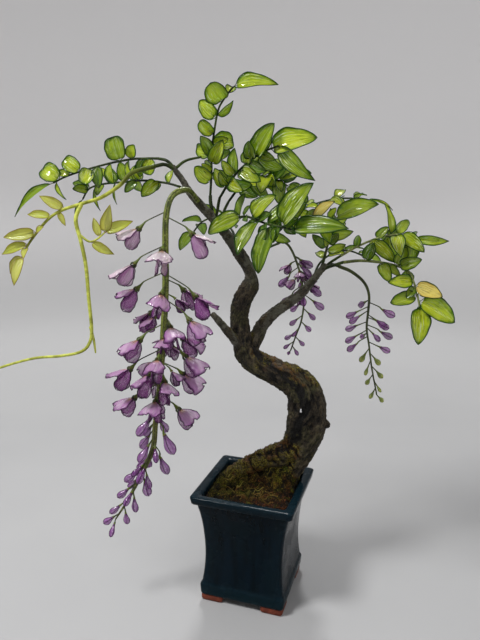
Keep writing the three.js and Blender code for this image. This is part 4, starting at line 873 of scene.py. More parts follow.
def floret_place(curve, floret, turn, splay, draws):
    """Where a floret sits: the stalklet's foot, its mouth, and the way that the floret points. An
    open one hangs out and down, and a bud leans from the stem by the raceme's splay."""
    t, round_, stalklet, size, kind = floret
    foot = curve.at(t)
    aside = math.radians(round_ + turn)
    away = np.array([math.cos(aside), math.sin(aside), 0])
    if kind == OPEN:
        out = unit(away * 0.66 + DOWN * 0.7)
        mouth = foot + away * 0.8 * stalklet + DOWN * 0.5 * stalklet
    else:
        lean = math.radians(GREEN_SPLAY if kind == GREEN else splay)
        out = unit(away * math.sin(lean) + curve.tangent(t) * math.cos(lean))
        mouth = foot + out * stalklet
    place = {"foot": foot, "away": away, "mouth": mouth, "out": out, "up": square_to(away, out), "size": size,
             "kind": kind, "stalklet": stalklet, "draws": draws}
    if kind == OPEN:
        points = np.vstack([blade_at(p, PETAL_S, PETAL_W)[0] for p in petals(place)])
    else:
        points = mouth + out * size * np.array([[0.3], [0.65], [1]])
    return place, points


def petals(place):
    """Two cupped wings side by side, under a broad banner that stands out over them like a hood. The
    draws set how far the wings part, how high and how broad the hood is, and the floret's roll."""
    out, size = place["out"], place["size"]
    parted, lifted, broad, rolled = place["draws"]
    top = turned(place["up"], out, math.radians(56 * (rolled - 0.5)))
    side = np.cross(out, top)
    root = place["mouth"] + out * (SEAT_GAP + 0.02 * size)
    made = []
    for hand in (-1, 1):
        wing_out = unit(out + side * (0.36 + 0.2 * parted) * hand - top * 0.12)
        made.append({"root": root - top * 0.01 * size + side * 0.04 * size * hand, "out": wing_out,
                     "up": square_to(side * hand + top * 0.3, wing_out), "length": size * (0.96 - 0.12 * broad),
                     "width": size * 0.52, "bend": math.radians(36), "kind": WING})
    banner_out = unit(top * (0.56 + 0.34 * lifted) + out)
    made.append({"root": root + top * 0.04 * size, "out": banner_out, "up": square_to(top, banner_out),
                 "length": size * (0.82 + 0.16 * broad), "width": size * (0.78 + 0.2 * broad),
                 "bend": math.radians(20), "kind": BANNER})
    return made


def petal_relief(blade, draw, ruffle):
    """Crumpled film with folds that fan out, and an edge that waves more towards the tip."""
    phase, seed = 6 * next(draw), 60 * next(draw)
    size = blade["length"] / 24

    def relief(s, w):
        folds = 0.34 * np.cos(9 * w + phase) * s * (1 - np.abs(w) ** 4)
        edge = ruffle * (np.sin(6 * w + phase) + 0.6 * np.sin(13 * w + 9 * s + phase)) * s**2 * np.abs(w)
        return size * (folds + edge + 0.9 * crumple(s, w, 3.5, seed) * s * (1 - np.abs(w) ** 6))

    return relief


def add_stalklet(wires, place, cup):
    """A stalklet, bowed if it is long, that thickens into a cup with five small teeth, or into a bud's
    foot."""
    foot, mouth, out, stalklet = place["foot"], place["mouth"], place["out"], place["stalklet"]
    back = mouth - out * cup
    knee = foot + (mouth - foot) * 0.52 + place["away"] * 0.13 * stalklet
    middle = Route([foot, back] if stalklet <= 15 else [foot, knee, back])
    bow = Route(np.vstack([middle.at(np.linspace(0, 1, 8)[:-2]), back, mouth]))
    u = np.linspace(0, 1, STALKLET_RINGS)
    centres, tangents = bow.at(u), bow.tangent(u)
    far = np.linalg.norm(centres - mouth, axis=1)
    mouth_radius = place["size"] * 0.1
    swelling = min(14 if cup == CUP else 10, 0.85 * stalklet)
    swollen = 0.45 * smooth(swelling, 0, far) ** 1.2 + 0.55 * smooth(cup, 0, far) ** 1.2
    radius = STALKLET + (mouth_radius - STALKLET) * swollen
    across = carried(place["up"], tangents)
    points = np.vstack([skin(centres, tangents, across, radius, STALKLET_SIDES), centres[0], centres[-1]])
    along = np.append(np.repeat(1 - far / max(stalklet, 1), STALKLET_SIDES), [0, 1])
    wires.add(points, capped(STALKLET_RINGS, STALKLET_SIDES), along=along, tone=0.2)
    if cup < CUP:
        return
    other = np.cross(out, place["up"])
    for k in range(TEETH):
        angle = 2 * math.pi * (k + 0.5) / TEETH
        side = place["up"] * math.cos(angle) + other * math.sin(angle)
        tooth = {"root": mouth - out * 1.6 + side * mouth_radius * 0.8, "out": unit(out + side * 0.22),
                 "up": side, "length": 4.4, "width": 2.6, "bend": math.radians(12), "kind": LEAFLET}
        add_blade(wires, wires, tooth, 0.3, lambda s, w: np.zeros_like(s), cells=(6, 3), rim=0.14)


def add_open_floret(stock, place, tone, draw):
    """Banner, two wings and the keel between them."""
    wings_and_banner = petals(place)
    for k, blade in enumerate(wings_and_banner):
        hood = k == 2
        own = tone * (0.35 if hood else 1) + 0.12 * (next(draw) - 0.5)
        add_blade(stock, stock, blade, (2 if hood else 0) + np.clip(own, 0, 1),
                  petal_relief(blade, draw, 2.3 if hood else 1.5), wire_finish=1, cells=(15, 15), rim=0.4,
                  notch=0.16 if hood else 0, ragged=(0.09 if hood else 0.07, 6 * own + k))
    out, up, size = place["out"], place["up"], place["size"]
    keel_out = unit(out - up * 0.2)
    keel = {"root": place["mouth"] + out * 1.2, "out": keel_out, "up": square_to(up, keel_out), "length": size * 0.66,
            "width": size * 0.22, "bend": math.radians(-24), "kind": KEEL}
    add_blade(stock, stock, keel, np.clip(tone + 0.25, 0, 1), lambda s, w: 0 * s, wire_finish=1, cells=(9, 7), rim=0.3)


def add_bud(stock, place, gap, tone, rim_finish=1):
    """A closed bud, widest past its middle, in two crossed loops of wire."""
    mouth, out, up, size = place["mouth"], place["out"], place["up"], place["size"]
    side = np.cross(out, up)
    t = np.linspace(0, 1, BUD_RINGS)
    curl = 0.1 * size * t**2
    centres = mouth + out * (gap + t * size)[:, None] + up * curl[:, None] - up * 0.1 * size * t[:, None]
    narrowing = np.where(t > 0.6, np.sqrt(np.clip(1 - ((t - 0.6) / 0.4) ** 2, 0, 1)), 1)
    radius = size * (0.09 + 0.18 * smooth(0, 0.62, t)) * narrowing
    radius[-1] = 0.02 * size
    tangents = unit(np.gradient(centres, axis=0))
    across = carried(up, tangents)
    other = np.cross(tangents, across)
    angle = 2 * math.pi * (np.arange(BUD_SIDES) + 0.5) / BUD_SIDES
    ways = across[:, None] * np.cos(angle)[:, None] + other[:, None] * (0.8 * np.sin(angle))[:, None]
    points = (centres[:, None] + radius[:, None, None] * ways).reshape(-1, 3)
    points = np.vstack([points, centres[0], centres[-1]])
    stock.add(points, capped(BUD_RINGS, BUD_SIDES), along=np.append(np.repeat(t, BUD_SIDES), [0, 1]),
              across=np.append(np.tile(np.cos(angle), BUD_RINGS), [0, 0]), tone=tone)
    for way, reach, flat in ((across, 1.02, side), (other, 0.82, up)):
        wide = way * radius[:, None] * reach
        line = np.vstack([centres + wide, (centres - wide)[::-1]])
        add_loop(stock, line, np.broadcast_to(flat, line.shape), 0.3, tone=tone, finish=rim_finish)


def clear_place(curve, floret, splay, draw, room):
    """Where a floret sits once it is turned clear of what already stands."""
    draws = four(draw)
    return first_clear((floret_place(curve, floret, turn, splay, draws) for turn in ROUND), room)


def raceme_places(raceme):
    """Where each floret of a raceme sits."""
    curve = Route(raceme["route"])
    take_route(curve, curve.spans * 3)
    draw = seeded_draws(len(raceme["florets"]))
    return [clear_place(curve, floret, raceme["splay"], draw, BLOOM_ROOM) for floret in raceme["florets"]]


def add_main_raceme():
    """The large raceme, with each floret and bud a piece of its own."""
    wires = Stock()
    draw = seeded_draws(BLOOM_SEED)
    places = raceme_places(MAIN_RACEME)
    add_stem(wires, MAIN_RACEME["route"], MAIN_RACEME["radii"], sides=14, tone=0.6,
             relief=lambda a, u: 1 + 0.07 * np.cos(4 * a + 14 * u) + 0.03 * np.cos(9 * a - 6 * u))
    for k, place in enumerate(places):
        name = f"raceme_main_floret_{k + 1:02d}"
        blooms = Stock()
        if place["kind"] == OPEN:
            add_stalklet(wires, place, CUP)
            pale = k < PALE_FLORETS
            tone = 0.3 + 0.25 * next(draw) if pale else 0.45 + 0.3 * next(draw) * (1 + k / 24) / 2
            add_open_floret(blooms, place, tone, draw)
            slot = "pale_petal_resin" if pale else "petal_resin"
            materials = [PALE_FILM if pale else PETAL_FILM, PETAL_RIM]
        else:
            add_stalklet(wires, place, SMALL_CUP)
            add_bud(blooms, place, SEAT_GAP, 0.6 + 0.3 * next(draw))
            slot, materials = "petal_resin", [BUD_SKIN, PETAL_RIM]
        blooms.as_piece(name + "_petals", materials, slot, [name])
    wires.as_piece("raceme_main_stalks", [RACEME_STEM], "green_stem", ["raceme_main_stem"])


def add_small_blooms(raceme, count, low, high, until, size):
    """Small half-open florets up to a place along the stem and buds beyond it, between the large ones."""
    draw = seeded_draws(SMALL_BLOOM_SEED)
    curve = Route(raceme["route"])
    blooms, buds, wires = Stock(), Stock(), Stock()
    for k in range(count):
        u = low + (high - low) * (k + next(draw)) / count
        opened = u < until
        grown = size * ((1 if opened else 0.8) + 0.2 * next(draw))
        floret = (u, 137.5 * k, (0.6 + 0.5 * next(draw) * opened) * size, grown, OPEN if opened else BUD)
        place = clear_place(curve, floret, raceme["splay"], draw, SMALL_ROOM)
        add_stalklet(wires, place, SMALL_CUP)
        if opened:
            add_open_floret(blooms, place, 0.7 + 0.3 * next(draw), draw)
        else:
            add_bud(buds, place, SEAT_GAP, 0.5 + 0.4 * next(draw))
    name = raceme["name"] + "_small"
    blooms.as_piece(name + "_petals", [PETAL_FILM, PETAL_RIM], "petal_resin")
    if buds.count:
        buds.as_piece(name + "_buds", [BUD_SKIN, PETAL_RIM], "bud_resin")
    wires.as_piece(name + "_stalks", [RACEME_STEM], "green_stem")


def add_bud_raceme(raceme):
    """A small raceme of buds, purple first and green at its end."""
    wires, buds, greens = Stock(), Stock(), Stock()
    draw = seeded_draws(BUD_SEED + len(raceme["florets"]))
    places = raceme_places(raceme)
    add_stem(wires, raceme["route"], raceme["radii"], tone=0.3, relief=ribbed(0.06, 3, 20))
    for place in places:
        add_stalklet(wires, place, BUD_FOOT)
        if place["kind"] == GREEN:
            add_bud(greens, place, 0, 0.4 + 0.4 * next(draw), rim_finish=0)
        else:
            add_bud(buds, place, 0, 0.4 + 0.5 * next(draw))
    name = raceme["name"]
    buds.as_piece(name + "_buds", [BUD_SKIN, PETAL_RIM], "bud_resin", [name])
    wires.as_piece(name + "_stalks", [RACEME_STEM], "green_stem", [name])
    if greens.count:
        greens.as_piece(name + "_green_buds", [GREEN_BUD], "bud_resin", [name])


# ---- pot

# Half the pot's outer width at some heights, and where its smooth waist runs between two of them.
FOOT_RINGS = [(8.4, 45.6), (8, 46.4), (9.4, 46.8), (14, 47.1), (18.4, 47.3), (20.2, 46.8), (21.6, 45.9)]
WAIST = [(22.8, 45.4), (34, 44), (50, 43), (66, 43.2), (84, 44.6), (100, 46.8), (112, 49.4), (115.4, 50.1)]
LIP_RINGS = [(116.6, 50.6), (117.2, 52.4), (117.6, 54.2), (118.4, 54.9), (121, 55.3), (124.2, 55.9), (125.4, 55.8),
             (126, 55.1), (126.2, 53.6), (125.8, 50), (125.4, 47.4), (124.6, 46.2), (122, 45.6), (117, 44.6),
             (110, 41.6), (90, 37.6), (66, 35), (40, 34.8), (14, 36)]
POT_HEIGHT = 126
WORN_EDGES = ((POT_HEIGHT, 1.6), (118, 1.2), (20, 1.8), (9, 1.6))  # their heights and how far the wear reaches
CORNER_RADIUS = 4.0
CORNER_POINTS, SIDE_POINTS = 7, 6
INNER_RINGS = 6  # the last ones, whose corners are tighter
FOOT = {"outer": 45.8, "size": 25, "leg": 12, "height": 9}


def square_ring(half, z, corner):
    """A square with rounded corners, as a ring of points at height z."""
    points = []
    for quarter in range(4):
        turn = math.pi / 2 * quarter + math.pi / 4
        middle = (half - corner) * math.sqrt(2) * np.array([math.cos(turn), math.sin(turn)])
        for step in range(CORNER_POINTS):
            angle = math.pi / 2 * (quarter + step / (CORNER_POINTS - 1))
            points.append(middle + corner * np.array([math.cos(angle), math.sin(angle)]))
    points = np.array(points)
    full = []
    for k, p in enumerate(points):
        full.append(p)
        if k % CORNER_POINTS == CORNER_POINTS - 1:
            q = points[(k + 1) % len(points)]
            full.extend(p + (q - p) * share / SIDE_POINTS for share in range(1, SIDE_POINTS))
    return np.column_stack([full, np.full(len(full), z)])


def add_pot():
    """The glazed body: foot band, waist, rolled lip and inside, with its edges marked for the glaze."""
    waist = Route([(half, 0, z) for z, half in WAIST]).at(np.linspace(0, 1, 40))
    profile = FOOT_RINGS + [(p[2], p[0]) for p in waist] + LIP_RINGS
    rings = [square_ring(half, z, CORNER_RADIUS if k < len(profile) - INNER_RINGS else CORNER_RADIUS * 0.7)
             for k, (z, half) in enumerate(profile)]
    sides = len(rings[0])
    points = np.vstack(rings)
    wobble = 0.12 * lumps(points * 0.07, 21) + 0.05 * lumps(points * 0.2, 22)
    outward = unit(points * [1, 1, 0])
    points = points + outward * wobble[:, None]
    worn = [max(math.exp(-(((z - mark) / reach) ** 2)) for mark, reach in WORN_EDGES) for z, _ in profile]
    at_corner = np.arange(sides) % (sides // 4) < CORNER_POINTS
    edge = np.maximum(np.array(worn)[:, None], 0.7 * at_corner)
    ends = [[0, 0, profile[0][0]], [0, 0, profile[-1][0]]]
    stock = Stock()
    stock.add(np.vstack([points, ends]), capped(len(profile), sides), along=np.append(edge.ravel(), [0, 0]),
              across=np.append(points[:, 2], [0, 0]) / POT_HEIGHT)
    stock.as_piece("pot_glazed", [GLAZE], "glaze", ["pot"], potted)


def add_feet():
    """Four unglazed corner feet, each an L with its inner corner cut back and worn edges."""
    stock = Stock()
    out, size, leg = FOOT["outer"], FOOT["size"], FOOT["leg"]
    shape = np.array([[out, out], [out - size, out], [out - size + 3, out - leg], [out - leg, out - leg],
                      [out - leg, out - size + 3], [out, out - size]])
    shape = rounded(shape, 3.2)
    n = len(shape)
    middle = shape.mean(0)
    levels = [(0, 0.86), (0.5, 0.93), (1.4, 0.975), (2.8, 1), (FOOT["height"] - 0.2, 1), (FOOT["height"], 0.99)]
    for quarter in range(4):
        c, s = math.cos(quarter * math.pi / 2), math.sin(quarter * math.pi / 2)
        turn = np.array([[c, s], [-s, c]])
        rings = [np.column_stack([(middle + (shape - middle) * scale) @ turn, np.full(n, z)]) for z, scale in levels]
        ends = [np.append(middle @ turn, 0), np.append(middle @ turn, FOOT["height"])]
        stock.add(np.vstack([*rings, *ends]), capped(len(levels), n))
    stock.as_piece("pot_feet", [CLAY], "glaze", ["pot"], potted)


def rounded(shape, radius):
    """An outline with its corners rounded."""
    made = []
    for k, corner in enumerate(shape):
        before = unit(shape[k - 1] - corner) * radius
        after = unit(shape[(k + 1) % len(shape)] - corner) * radius
        for t in np.linspace(0, 1, 4):
            made.append(corner + before * (1 - t) ** 2 + after * t**2)
    return np.array(made)


# ---- moss

MOUND = {"at": (31, 27), "height": 11, "area": 22**2}  # round the trunk's foot
RIDGE = {"from": (30, 24), "to": (-32, 3), "height": 18, "spread": 19}  # over the root that runs left
MOSS_EDGE, MOSS_FLOOR = 120.5, 111.0  # heights of its top along the pot's wall and of its underside
TUFT, FAR_TUFT = (25, 5), (-30, -29)  # bright tufts
MOSS_HALF = 44.6  # half the moss's width
MOSS_CELLS = 132  # faces along each side
MOSS_CLUMP = 6.2  # size of its clumps
SPRIG_COUNT, SPRIG_SEED, STRAND_COUNT, STRAND_SEED = 12000, 77, 90, 53
SLOPE_STEP = 0.4  # between the places whose heights give the moss's slope
CORNERS = (0.0, 2.094, 4.189)  # where a sprig's three corners are, in radians


def round_spot(x, y, place, area):
    """1 at a place, fading all round it."""
    return np.exp(-(((x - place[0]) ** 2 + (y - place[1]) ** 2) / area))


def moss_height(x, y):
    """Height of the moss at a place in the pot: a mound, a ridge and small cushions."""
    edge = np.maximum(np.abs(x), np.abs(y)) / 45
    mound = MOUND["height"] * round_spot(x, y, MOUND["at"], MOUND["area"])
    (ax, ay), (bx, by) = RIDGE["from"], RIDGE["to"]
    along = np.clip(((x - ax) * (bx - ax) + (y - ay) * (by - ay)) / ((bx - ax) ** 2 + (by - ay) ** 2), 0, 1)
    far = np.hypot(x - ax - along * (bx - ax), y - ay - along * (by - ay))
    ridge = RIDGE["height"] * (1 - 0.4 * along) * np.exp(-((far / RIDGE["spread"]) ** 2))
    cushions = 1.5 * np.sin(x * 0.31 + 1) * np.cos(y * 0.27) + 1.1 * np.sin(x * 0.6 + y * 0.5)
    return MOSS_EDGE + (mound + ridge + cushions) * (1 - 0.75 * np.minimum(edge, 1) ** 6)


def moss_bed(x, y):
    """The moss with its clumps, and for each place how near it is to a clump's edge and the clump's
    own draw."""
    flat = np.column_stack([x, y, np.zeros_like(x)])
    inner = 1 - (np.maximum(np.abs(x), np.abs(y)) / MOSS_HALF) ** 8
    near, own = clumps(x + 1.6 * lumps(flat * 0.2, 33), y + 1.6 * lumps(flat * 0.2, 34), MOSS_CLUMP)
    small = 1.1 * lumps(flat * 0.22, 31) + 0.5 * lumps(flat * 0.6, 32) + 1.6 - 4.6 * near**2
    return moss_height(x, y) + small * inner - 1.2 * (1 - inner) ** 1.5, near, own + round_spot(x, y, TUFT, 30)


def moss_brown(x, y):
    """How brown the moss is, from 0, yellow-green at the back left, to 1, rust at the front right."""
    flat = np.column_stack([x, y, np.zeros_like(x)])
    leaning = 0.011 * x - 0.019 * y - 0.25 + 0.3 * lumps(flat * 0.05, 35) + 0.45 * lumps(flat * 0.16, 36)
    tufts = round_spot(x, y, TUFT, 40) + round_spot(x, y, FAR_TUFT, 60)
    return np.clip(smooth(-0.3, 0.4, leaning) - tufts, 0, 1)


def add_moss():
    """The moss in the pot as one closed body."""
    n = MOSS_CELLS
    spots = np.linspace(-1, 1, n + 1)
    i, j = np.meshgrid(spots, spots, indexing="ij")
    corner = 1 - 0.035 * np.abs(i * j) ** 6
    x, y = (MOSS_HALF * i * corner).ravel(), (MOSS_HALF * j * corner).ravel()
    height, near, own = moss_bed(x, y)
    top = np.column_stack([x, y, height])
    low = np.column_stack([x * 0.93, y * 0.93, np.full(len(x), MOSS_FLOOR)])
    stock = Stock()
    # along marks painted shade: low at the clumps' edges, where the moss is painted near black
    stock.add(np.vstack([top, low]), sheet_faces(n + 1, n + 1), along=np.tile(0.55 * smooth(0.75, 0.1, near), 2),
              across=np.tile(moss_brown(x, y), 2), tone=np.tile(own, 2))
    stock.as_piece("moss_bed", [MOSS], "moss", ["moss"], potted)


def add_sprigs(stock, feet, ups, draw, low, high, brown, own):
    """Small pointed leaves of moss standing on a surface, each as brown as given and near its clump's
    own tone."""
    n = len(feet)
    side = square_to(draw.normal(size=(n, 3)), ups)
    way = unit(ups + side * draw.uniform(0.1, 1.1, (n, 1)))
    length = draw.uniform(low, high, (n, 1))
    width = draw.uniform(0.22, 0.42, (n, 1))
    across = square_to(draw.normal(size=(n, 3)), way)
    other = np.cross(way, across)
    tone = np.clip(0.65 * own + 0.35 * draw.uniform(0, 1, n), 0, 1.2)
    base = feet - ups * 0.5
    corners = [across * math.cos(a) + other * math.sin(a) for a in CORNERS]
    bend = base + way * length * 0.62 + ups * length * 0.08
    ring, waist = [base + width * c for c in corners], [bend + width * 0.8 * c for c in corners]
    tip = base + way * length - ups * length * 0.08
    points = np.stack([*ring, *waist, tip], 1).reshape(-1, 3)
    start = np.arange(n)[:, None] * 7
    quads = np.vstack([start + q for q in ([0, 1, 4, 3], [1, 2, 5, 4], [2, 0, 3, 5])])
    tris = np.vstack([start + t for t in ([3, 4, 6], [4, 5, 6], [5, 3, 6], [2, 1, 0])])
    # along marks painted shade: 0 at a sprig's foot, where it is painted near black, up to 1 at its tip
    along = np.tile([0, 0, 0, 0.6, 0.6, 0.6, 1], n)
    stock.add(points, [quads, tris], along=along, across=np.repeat(brown, 7), tone=np.repeat(tone, 7))


def add_strands():
    """Dry strands that lie over the moss."""
    draw = np.random.default_rng(STRAND_SEED)
    stock = Stock()
    for _ in range(STRAND_COUNT):
        x, y = draw.uniform([-0.8, -0.8], [0.5, 0.45]) * MOSS_HALF
        heading = draw.normal(0.7, 0.3)
        route = []
        for _ in range(5):
            route.append([x, y, moss_bed(np.array([x]), np.array([y]))[0][0] + draw.uniform(0.7, 1.8)])
            heading += draw.normal(0, 0.16)
            x, y = x + 2.3 * math.cos(heading), y + 2.3 * math.sin(heading)
        add_stem(stock, route, (0.36, 0.22), sides=4, steps=3, tone=draw.uniform(0, 1))
    stock.as_piece("moss_strands", [STRAW], "moss", ["moss"], potted)


def add_moss_sprigs(bark):
    """Sprigs over the moss in the pot, and on the bark where moss grows."""
    draw = np.random.default_rng(SPRIG_SEED)
    x, y = draw.uniform(-0.97, 0.97, (2, SPRIG_COUNT)) * MOSS_HALF
    height, near, own = moss_bed(x, y)
    keep = (np.abs(x * y) < 0.86 * MOSS_HALF**2) & (near < 0.62)
    x, y, height, own = x[keep], y[keep], height[keep], own[keep]
    slope_x = (moss_bed(x + SLOPE_STEP, y)[0] - moss_bed(x - SLOPE_STEP, y)[0]) / (2 * SLOPE_STEP)
    slope_y = (moss_bed(x, y + SLOPE_STEP)[0] - moss_bed(x, y - SLOPE_STEP)[0]) / (2 * SLOPE_STEP)
    ups = unit(np.column_stack([-slope_x, -slope_y, np.ones(len(x))]))
    stock = Stock()
    add_sprigs(stock, np.column_stack([x, y, height]), ups, draw, 1.2, 3.0, moss_brown(x, y), own)
    stock.as_piece("moss_sprigs", [MOSS], "moss", ["moss"], potted)

    points, normals = mesh_arrays(bark)
    marks = np.zeros(len(points) * 3)
    bark.attributes["place"].data.foreach_get("vector", marks)
    moss = marks.reshape(-1, 3)[:, 0]
    view = unframed(points)
    low = smooth(200, 180, view[:, 2])
    grows = draw.uniform(0, 1, len(points)) < (0.2 + 0.15 * low) * smooth(0.35, 0.9, moss)
    grows &= view[:, 2] > MOSS_EDGE + 1.5
    stock = Stock()
    view = view[grows]
    _, own = bark_clumps(view)
    brown = smooth(-0.35, 0.25, lumps(view * 0.07, 37) + 0.012 * view[:, 0]) * smooth(215, 190, view[:, 2])
    add_sprigs(stock, view, normals[grows] @ TREE_FROM_POT, draw, 0.7, 2.0, brown, own)
    stock.as_piece("bark_moss", [MOSS], "moss")


# ---- node trees


def rgb(red, green, blue):
    """A colour given in the usual 0 to 255 steps, as linear light."""
    shares = [c / 255 for c in (red, green, blue)]
    return (*[s / 12.92 if s <= 0.04045 else ((s + 0.055) / 1.055) ** 2.4 for s in shares], 1)


class Nodes:
    """Short calls that add nodes to a tree. A value is a number, a colour or another node's output."""

    def __init__(self, tree):
        self.tree = tree

    def add(self, kind, **settings):
        made = self.tree.nodes.new(kind)
        for key, value in settings.items():
            setattr(made, key, value)
        return made

    def feed(self, socket, value):
        if isinstance(value, bpy.types.NodeSocket):
            self.tree.links.new(value, socket)
        else:
            socket.default_value = value

    def math(self, operation, a, b=0.0):
        made = self.add("ShaderNodeMath", operation=operation)
        self.feed(made.inputs[0], a)
        self.feed(made.inputs[1], b)
        return made.outputs[0]

    def plus(self, a, b):
        return self.math("ADD", a, b)

    def times(self, a, b):
        return self.math("MULTIPLY", a, b)

    def range(self, value, low, high, to_low=0.0, to_high=1.0):
        made = self.add("ShaderNodeMapRange", interpolation_type="SMOOTHSTEP")
        for socket, given in zip(made.inputs, (value, low, high, to_low, to_high)):
            self.feed(socket, given)
        return made.outputs[0]

    def mix(self, amount, a, b):
        made = self.add("ShaderNodeMix", data_type="RGBA")
        self.feed(made.inputs[0], amount)
        self.feed(made.inputs[6], a)
        self.feed(made.inputs[7], b)
        return made.outputs[2]

    def blend(self, a, b, value, low, high, share=1.0):
        """Turns colour a to b, by a share of the way, as a value goes from low to high."""
        return self.mix(self.range(value, low, high, 0.0, share), a, b)

    def noise(self, vector, scale, detail=3.0, roughness=0.55):
        made = self.add("ShaderNodeTexNoise")
        self.feed(made.inputs["Vector"], vector)
        self.feed(made.inputs["Scale"], scale)
        self.feed(made.inputs["Detail"], detail)
        self.feed(made.inputs["Roughness"], roughness)
        return made.outputs["Fac"]

    def marks(self, name="place"):
        """The three values kept at each point, as (x, y, z, all)."""
        found = self.add("ShaderNodeAttribute", attribute_name=name, attribute_type="GEOMETRY")
        parts = self.add("ShaderNodeSeparateXYZ")
        self.feed(parts.inputs[0], found.outputs["Vector"])
        return (*parts.outputs, found.outputs["Vector"])

    def place(self):
        """Where a point is in the frame, in millimetres."""
        found = self.add("ShaderNodeTexCoord")
        scaled = self.add("ShaderNodeVectorMath", operation="SCALE")
        self.feed(scaled.inputs[0], found.outputs["Object"])
        self.feed(scaled.inputs["Scale"], 1 / MM)
        return scaled.outputs[0]

    def stretched(self, vector, by):
        """A vector with each of its values multiplied by its own number."""
        made = self.add("ShaderNodeVectorMath", operation="MULTIPLY")
        self.feed(made.inputs[0], vector)
        self.feed(made.inputs[1], by)
        return made.outputs[0]

    def bump(self, height, distance, strength=1.0):
        made = self.add("ShaderNodeBump")
        self.feed(made.inputs["Height"], height)
        self.feed(made.inputs["Distance"], distance * MM)
        self.feed(made.inputs["Strength"], strength)
        return made.outputs[0]

    def use(self, group, **inputs):
        made = self.add("ShaderNodeGroup", node_tree=group)
        for key, value in inputs.items():
            self.feed(made.inputs[key.replace("_", " ")], value)
        return made.outputs


def node_group(name, inputs, outputs):
    """A group with named inputs {name: (kind, default)} and outputs {name: kind}."""
    group = bpy.data.node_groups.new(name, "ShaderNodeTree")
    for key, (kind, default) in inputs.items():
        socket = group.interface.new_socket(key, in_out="INPUT", socket_type="NodeSocket" + kind)
        socket.default_value = default
    for key, kind in outputs.items():
        group.interface.new_socket(key, in_out="OUTPUT", socket_type="NodeSocket" + kind)
    nodes = Nodes(group)
    return group, nodes, nodes.add("NodeGroupInput").outputs, nodes.add("NodeGroupOutput").inputs


def speckle_group():
    """Two sizes of mottling, for grainy surfaces."""
    group, nodes, given, wanted = node_group(
        "speckle", {"Where": ("Vector", (0, 0, 0)), "Coarse": ("Float", 0.1), "Fine": ("Float", 1.0)},
        {"Coarse": "Float", "Fine": "Float", "Height": "Float"})
    coarse = nodes.noise(given["Where"], given["Coarse"], 4.0)
    fine = nodes.noise(given["Where"], given["Fine"], 3.0, 0.65)
    nodes.feed(wanted["Coarse"], nodes.range(coarse, 0.35, 0.65))
    nodes.feed(wanted["Fine"], nodes.range(fine, 0.35, 0.65))
    nodes.feed(wanted["Height"], nodes.plus(nodes.times(coarse, 0.6), fine))
    return group


def veined_film_group():
    """Colour of a resin film: a light heart, a deeper edge with a dark line, veins that run from root
    to tip, and painted highlights: pale glint streaks in patches."""
    group, nodes, given, wanted = node_group(
        "veined_film",
        {"Heart": ("Color", (0.5, 0.5, 0.5, 1)), "Edge": ("Color", (0.2, 0.2, 0.2, 1)),
         "Vein": ("Color", (0.1, 0.1, 0.1, 1)), "Glint": ("Color", (0.9, 0.9, 0.9, 1)),
         "Line": ("Color", (0.05, 0.05, 0.05, 1)), "Line Share": ("Float", 0.6),
         "Vein Turns": ("Float", 9.42), "Vein Share": ("Float", 0.5), "Glint Share": ("Float", 0.2)},
        {"Colour": "Color", "Rim": "Float", "Height": "Float"})
    along, across, _, whole = nodes.marks()
    wide = nodes.math("ABSOLUTE", across)
    centred = nodes.math("SUBTRACT", nodes.times(along, 2.0), 1.0)
    ends = nodes.math("POWER", nodes.math("ABSOLUTE", centred), 3.0)
    cloud = nodes.noise(nodes.place(), 0.13, 3.0)
    rim = nodes.times(nodes.math("POWER", wide, 2.2), 0.8)
    rim = nodes.plus(rim, nodes.times(ends, 0.75))
    rim = nodes.plus(rim, nodes.times(nodes.math("SUBTRACT", cloud, 0.5), 1.5))
    rim = nodes.range(rim, 0.0, 1.0)
    patches = nodes.range(nodes.noise(nodes.place(), 0.07, 2.0), 0.4, 0.6)
    bent = nodes.plus(across, nodes.times(cloud, 0.4))
    wave = nodes.math("ABSOLUTE", nodes.math("SINE", nodes.times(bent, given["Vein Turns"])))
    veins = nodes.times(nodes.range(wave, 0.4, 0.05), patches)
    streaks = nodes.noise(nodes.stretched(whole, (1.7, 7.5, 40.0)), 1.4, 3.0, 0.6)
    # painted highlights: pale glint streaks where the long streak noise peaks, only in glint patches
    glint_patches = nodes.range(nodes.noise(nodes.place(), 0.035, 1.0), 0.47, 0.56, 0.25, 1.0)
    glints = nodes.times(nodes.range(streaks, 0.565, 0.625), glint_patches)
    line = nodes.math("MAXIMUM", nodes.range(wide, 0.84, 0.96), nodes.range(along, 0.9, 0.985))
    colour = nodes.mix(rim, given["Heart"], given["Edge"])
    colour = nodes.mix(nodes.times(veins, given["Vein Share"]), colour, given["Vein"])
    # paints the glint highlights over the film's colour
    colour = nodes.mix(nodes.times(glints, given["Glint Share"]), colour, given["Glint"])
    colour = nodes.mix(nodes.times(line, given["Line Share"]), colour, given["Line"])
    nodes.feed(wanted["Colour"], colour)
    nodes.feed(wanted["Rim"], rim)
    nodes.feed(wanted["Height"], nodes.plus(nodes.times(streaks, 1.2), nodes.times(wave, patches)))
    return group


SPECKLE = speckle_group()
VEINED_FILM = veined_film_group()


